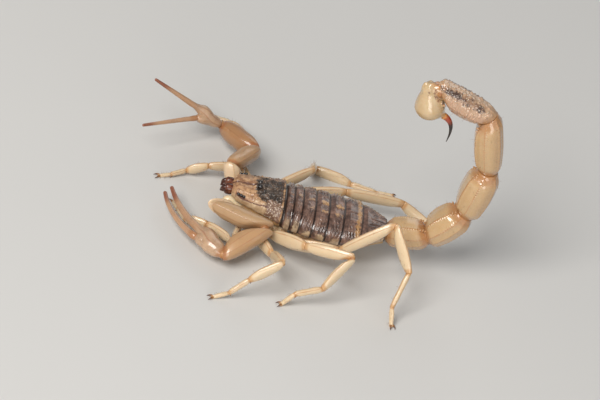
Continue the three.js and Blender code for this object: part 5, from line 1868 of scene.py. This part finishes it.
class SCORPION_OT_stage(bpy.types.Operator):
    """Make the floor, the lights and the camera"""

    bl_idname = "scorpion.stage"
    bl_label = "Stage"

    def execute(self, context):
        half = sizes().floor_width / 2
        cells = 8
        corners = np.linspace(-half, half, cells + 1)
        x, y = np.meshgrid(corners, corners)
        points = np.stack([x, y, np.full(x.shape, -0.01 * MM)], -1).reshape(-1, 3)
        i, j = np.meshgrid(np.arange(cells), np.arange(cells), indexing="ij")
        first = (i * (cells + 1) + j).ravel()
        faces = np.stack([first, first + 1, first + cells + 2, first + cells + 1], -1)
        mesh = bpy.data.meshes.new("floor")
        mesh.from_pydata(points.tolist(), [], faces.tolist())
        mesh.materials.append(floor_material())
        floor = bpy.data.objects.new("floor", mesh)
        context.scene.collection.objects.link(floor)

        world = bpy.data.worlds.new("even_light")
        world.use_nodes = True
        sky = world.node_tree.nodes["Background"]
        sky.inputs["Color"].default_value = (0.95, 0.97, 1.0, 1.0)
        sky.inputs["Strength"].default_value = sizes().sky_strength
        context.scene.world = world
        middle = (2.0, 0.0, 6.0)
        soft_light("key", (-230, -250, 390), middle, 0.26, sizes().key_power, (1.0, 0.97, 0.93))
        soft_light("low", (40, -430, 60), middle, 0.2, sizes().low_power, (1.0, 0.97, 0.93))
        soft_light("fill", (320, -330, 220), middle, 0.4, sizes().fill_power, (0.93, 0.96, 1.0))
        soft_light("rim", (120, 380, 300), middle, 0.3, sizes().fill_power, (1.0, 0.98, 0.95))

        a, e, q = (math.radians(VIEW[key]) for key in ("azimuth", "elevation", "roll"))
        right = np.array([math.cos(a), math.sin(a), 0])
        over = np.array([-math.sin(a) * math.sin(e), math.cos(a) * math.sin(e), math.cos(e)])
        back = np.array([math.sin(a) * math.cos(e), -math.cos(a) * math.cos(e), math.sin(e)])
        right, over = right * math.cos(q) + over * math.sin(q), over * math.cos(q) - right * math.sin(q)
        place = np.array(VIEW_MIDDLE) + VIEW_SHIFT[0] * right + VIEW_SHIFT[1] * over + VIEW["distance"] * back
        lens = bpy.data.cameras.new("camera")
        lens.sensor_width = 36
        lens.lens = VIEW["lens"]
        lens.clip_start = 0.01
        context.scene.camera = set_up("camera", lens, (right, over, back), place)
        context.scene.view_settings.view_transform = "Standard"
        return {"FINISHED"}


OPERATORS = (
    SCORPION_OT_head_shield,
    SCORPION_OT_eyes,
    SCORPION_OT_jaws,
    SCORPION_OT_chest,
    SCORPION_OT_back_plates,
    SCORPION_OT_belly,
    SCORPION_OT_tail,
    SCORPION_OT_bulb,
    SCORPION_OT_sting,
    SCORPION_OT_arms,
    SCORPION_OT_legs,
    SCORPION_OT_joint_skins,
    SCORPION_OT_bristles,
    SCORPION_OT_stage,
)


class SCORPION_PT_panel(bpy.types.Panel):
    """Lists the scorpion's sizes, colours and pieces"""

    bl_idname = "SCORPION_PT_panel"
    bl_label = "Scorpion"
    bl_space_type = "VIEW_3D"
    bl_region_type = "UI"
    bl_category = "Scorpion"

    def draw(self, context):
        for group in (context.scene.scorpion_sizes, context.scene.scorpion_finishes):
            box = self.layout.box()
            for name in group.__annotations__:
                box.prop(group, name)
        column = self.layout.column(align=True)
        for operator in OPERATORS:
            column.operator(operator.bl_idname)


CLASSES = (ScorpionSizes, ScorpionFinishes, *OPERATORS, SCORPION_PT_panel)


def register():
    for item in CLASSES:
        bpy.utils.register_class(item)
    bpy.types.Scene.scorpion_sizes = bpy.props.PointerProperty(type=ScorpionSizes)
    bpy.types.Scene.scorpion_finishes = bpy.props.PointerProperty(type=ScorpionFinishes)


def unregister():
    del bpy.types.Scene.scorpion_finishes
    del bpy.types.Scene.scorpion_sizes
    for item in reversed(CLASSES):
        bpy.utils.unregister_class(item)


def main():
    """Builds every piece in order."""
    register()
    for operator in OPERATORS:
        getattr(bpy.ops.scorpion, operator.bl_idname.split(".")[1])()


if __name__ == "__main__":
    main()
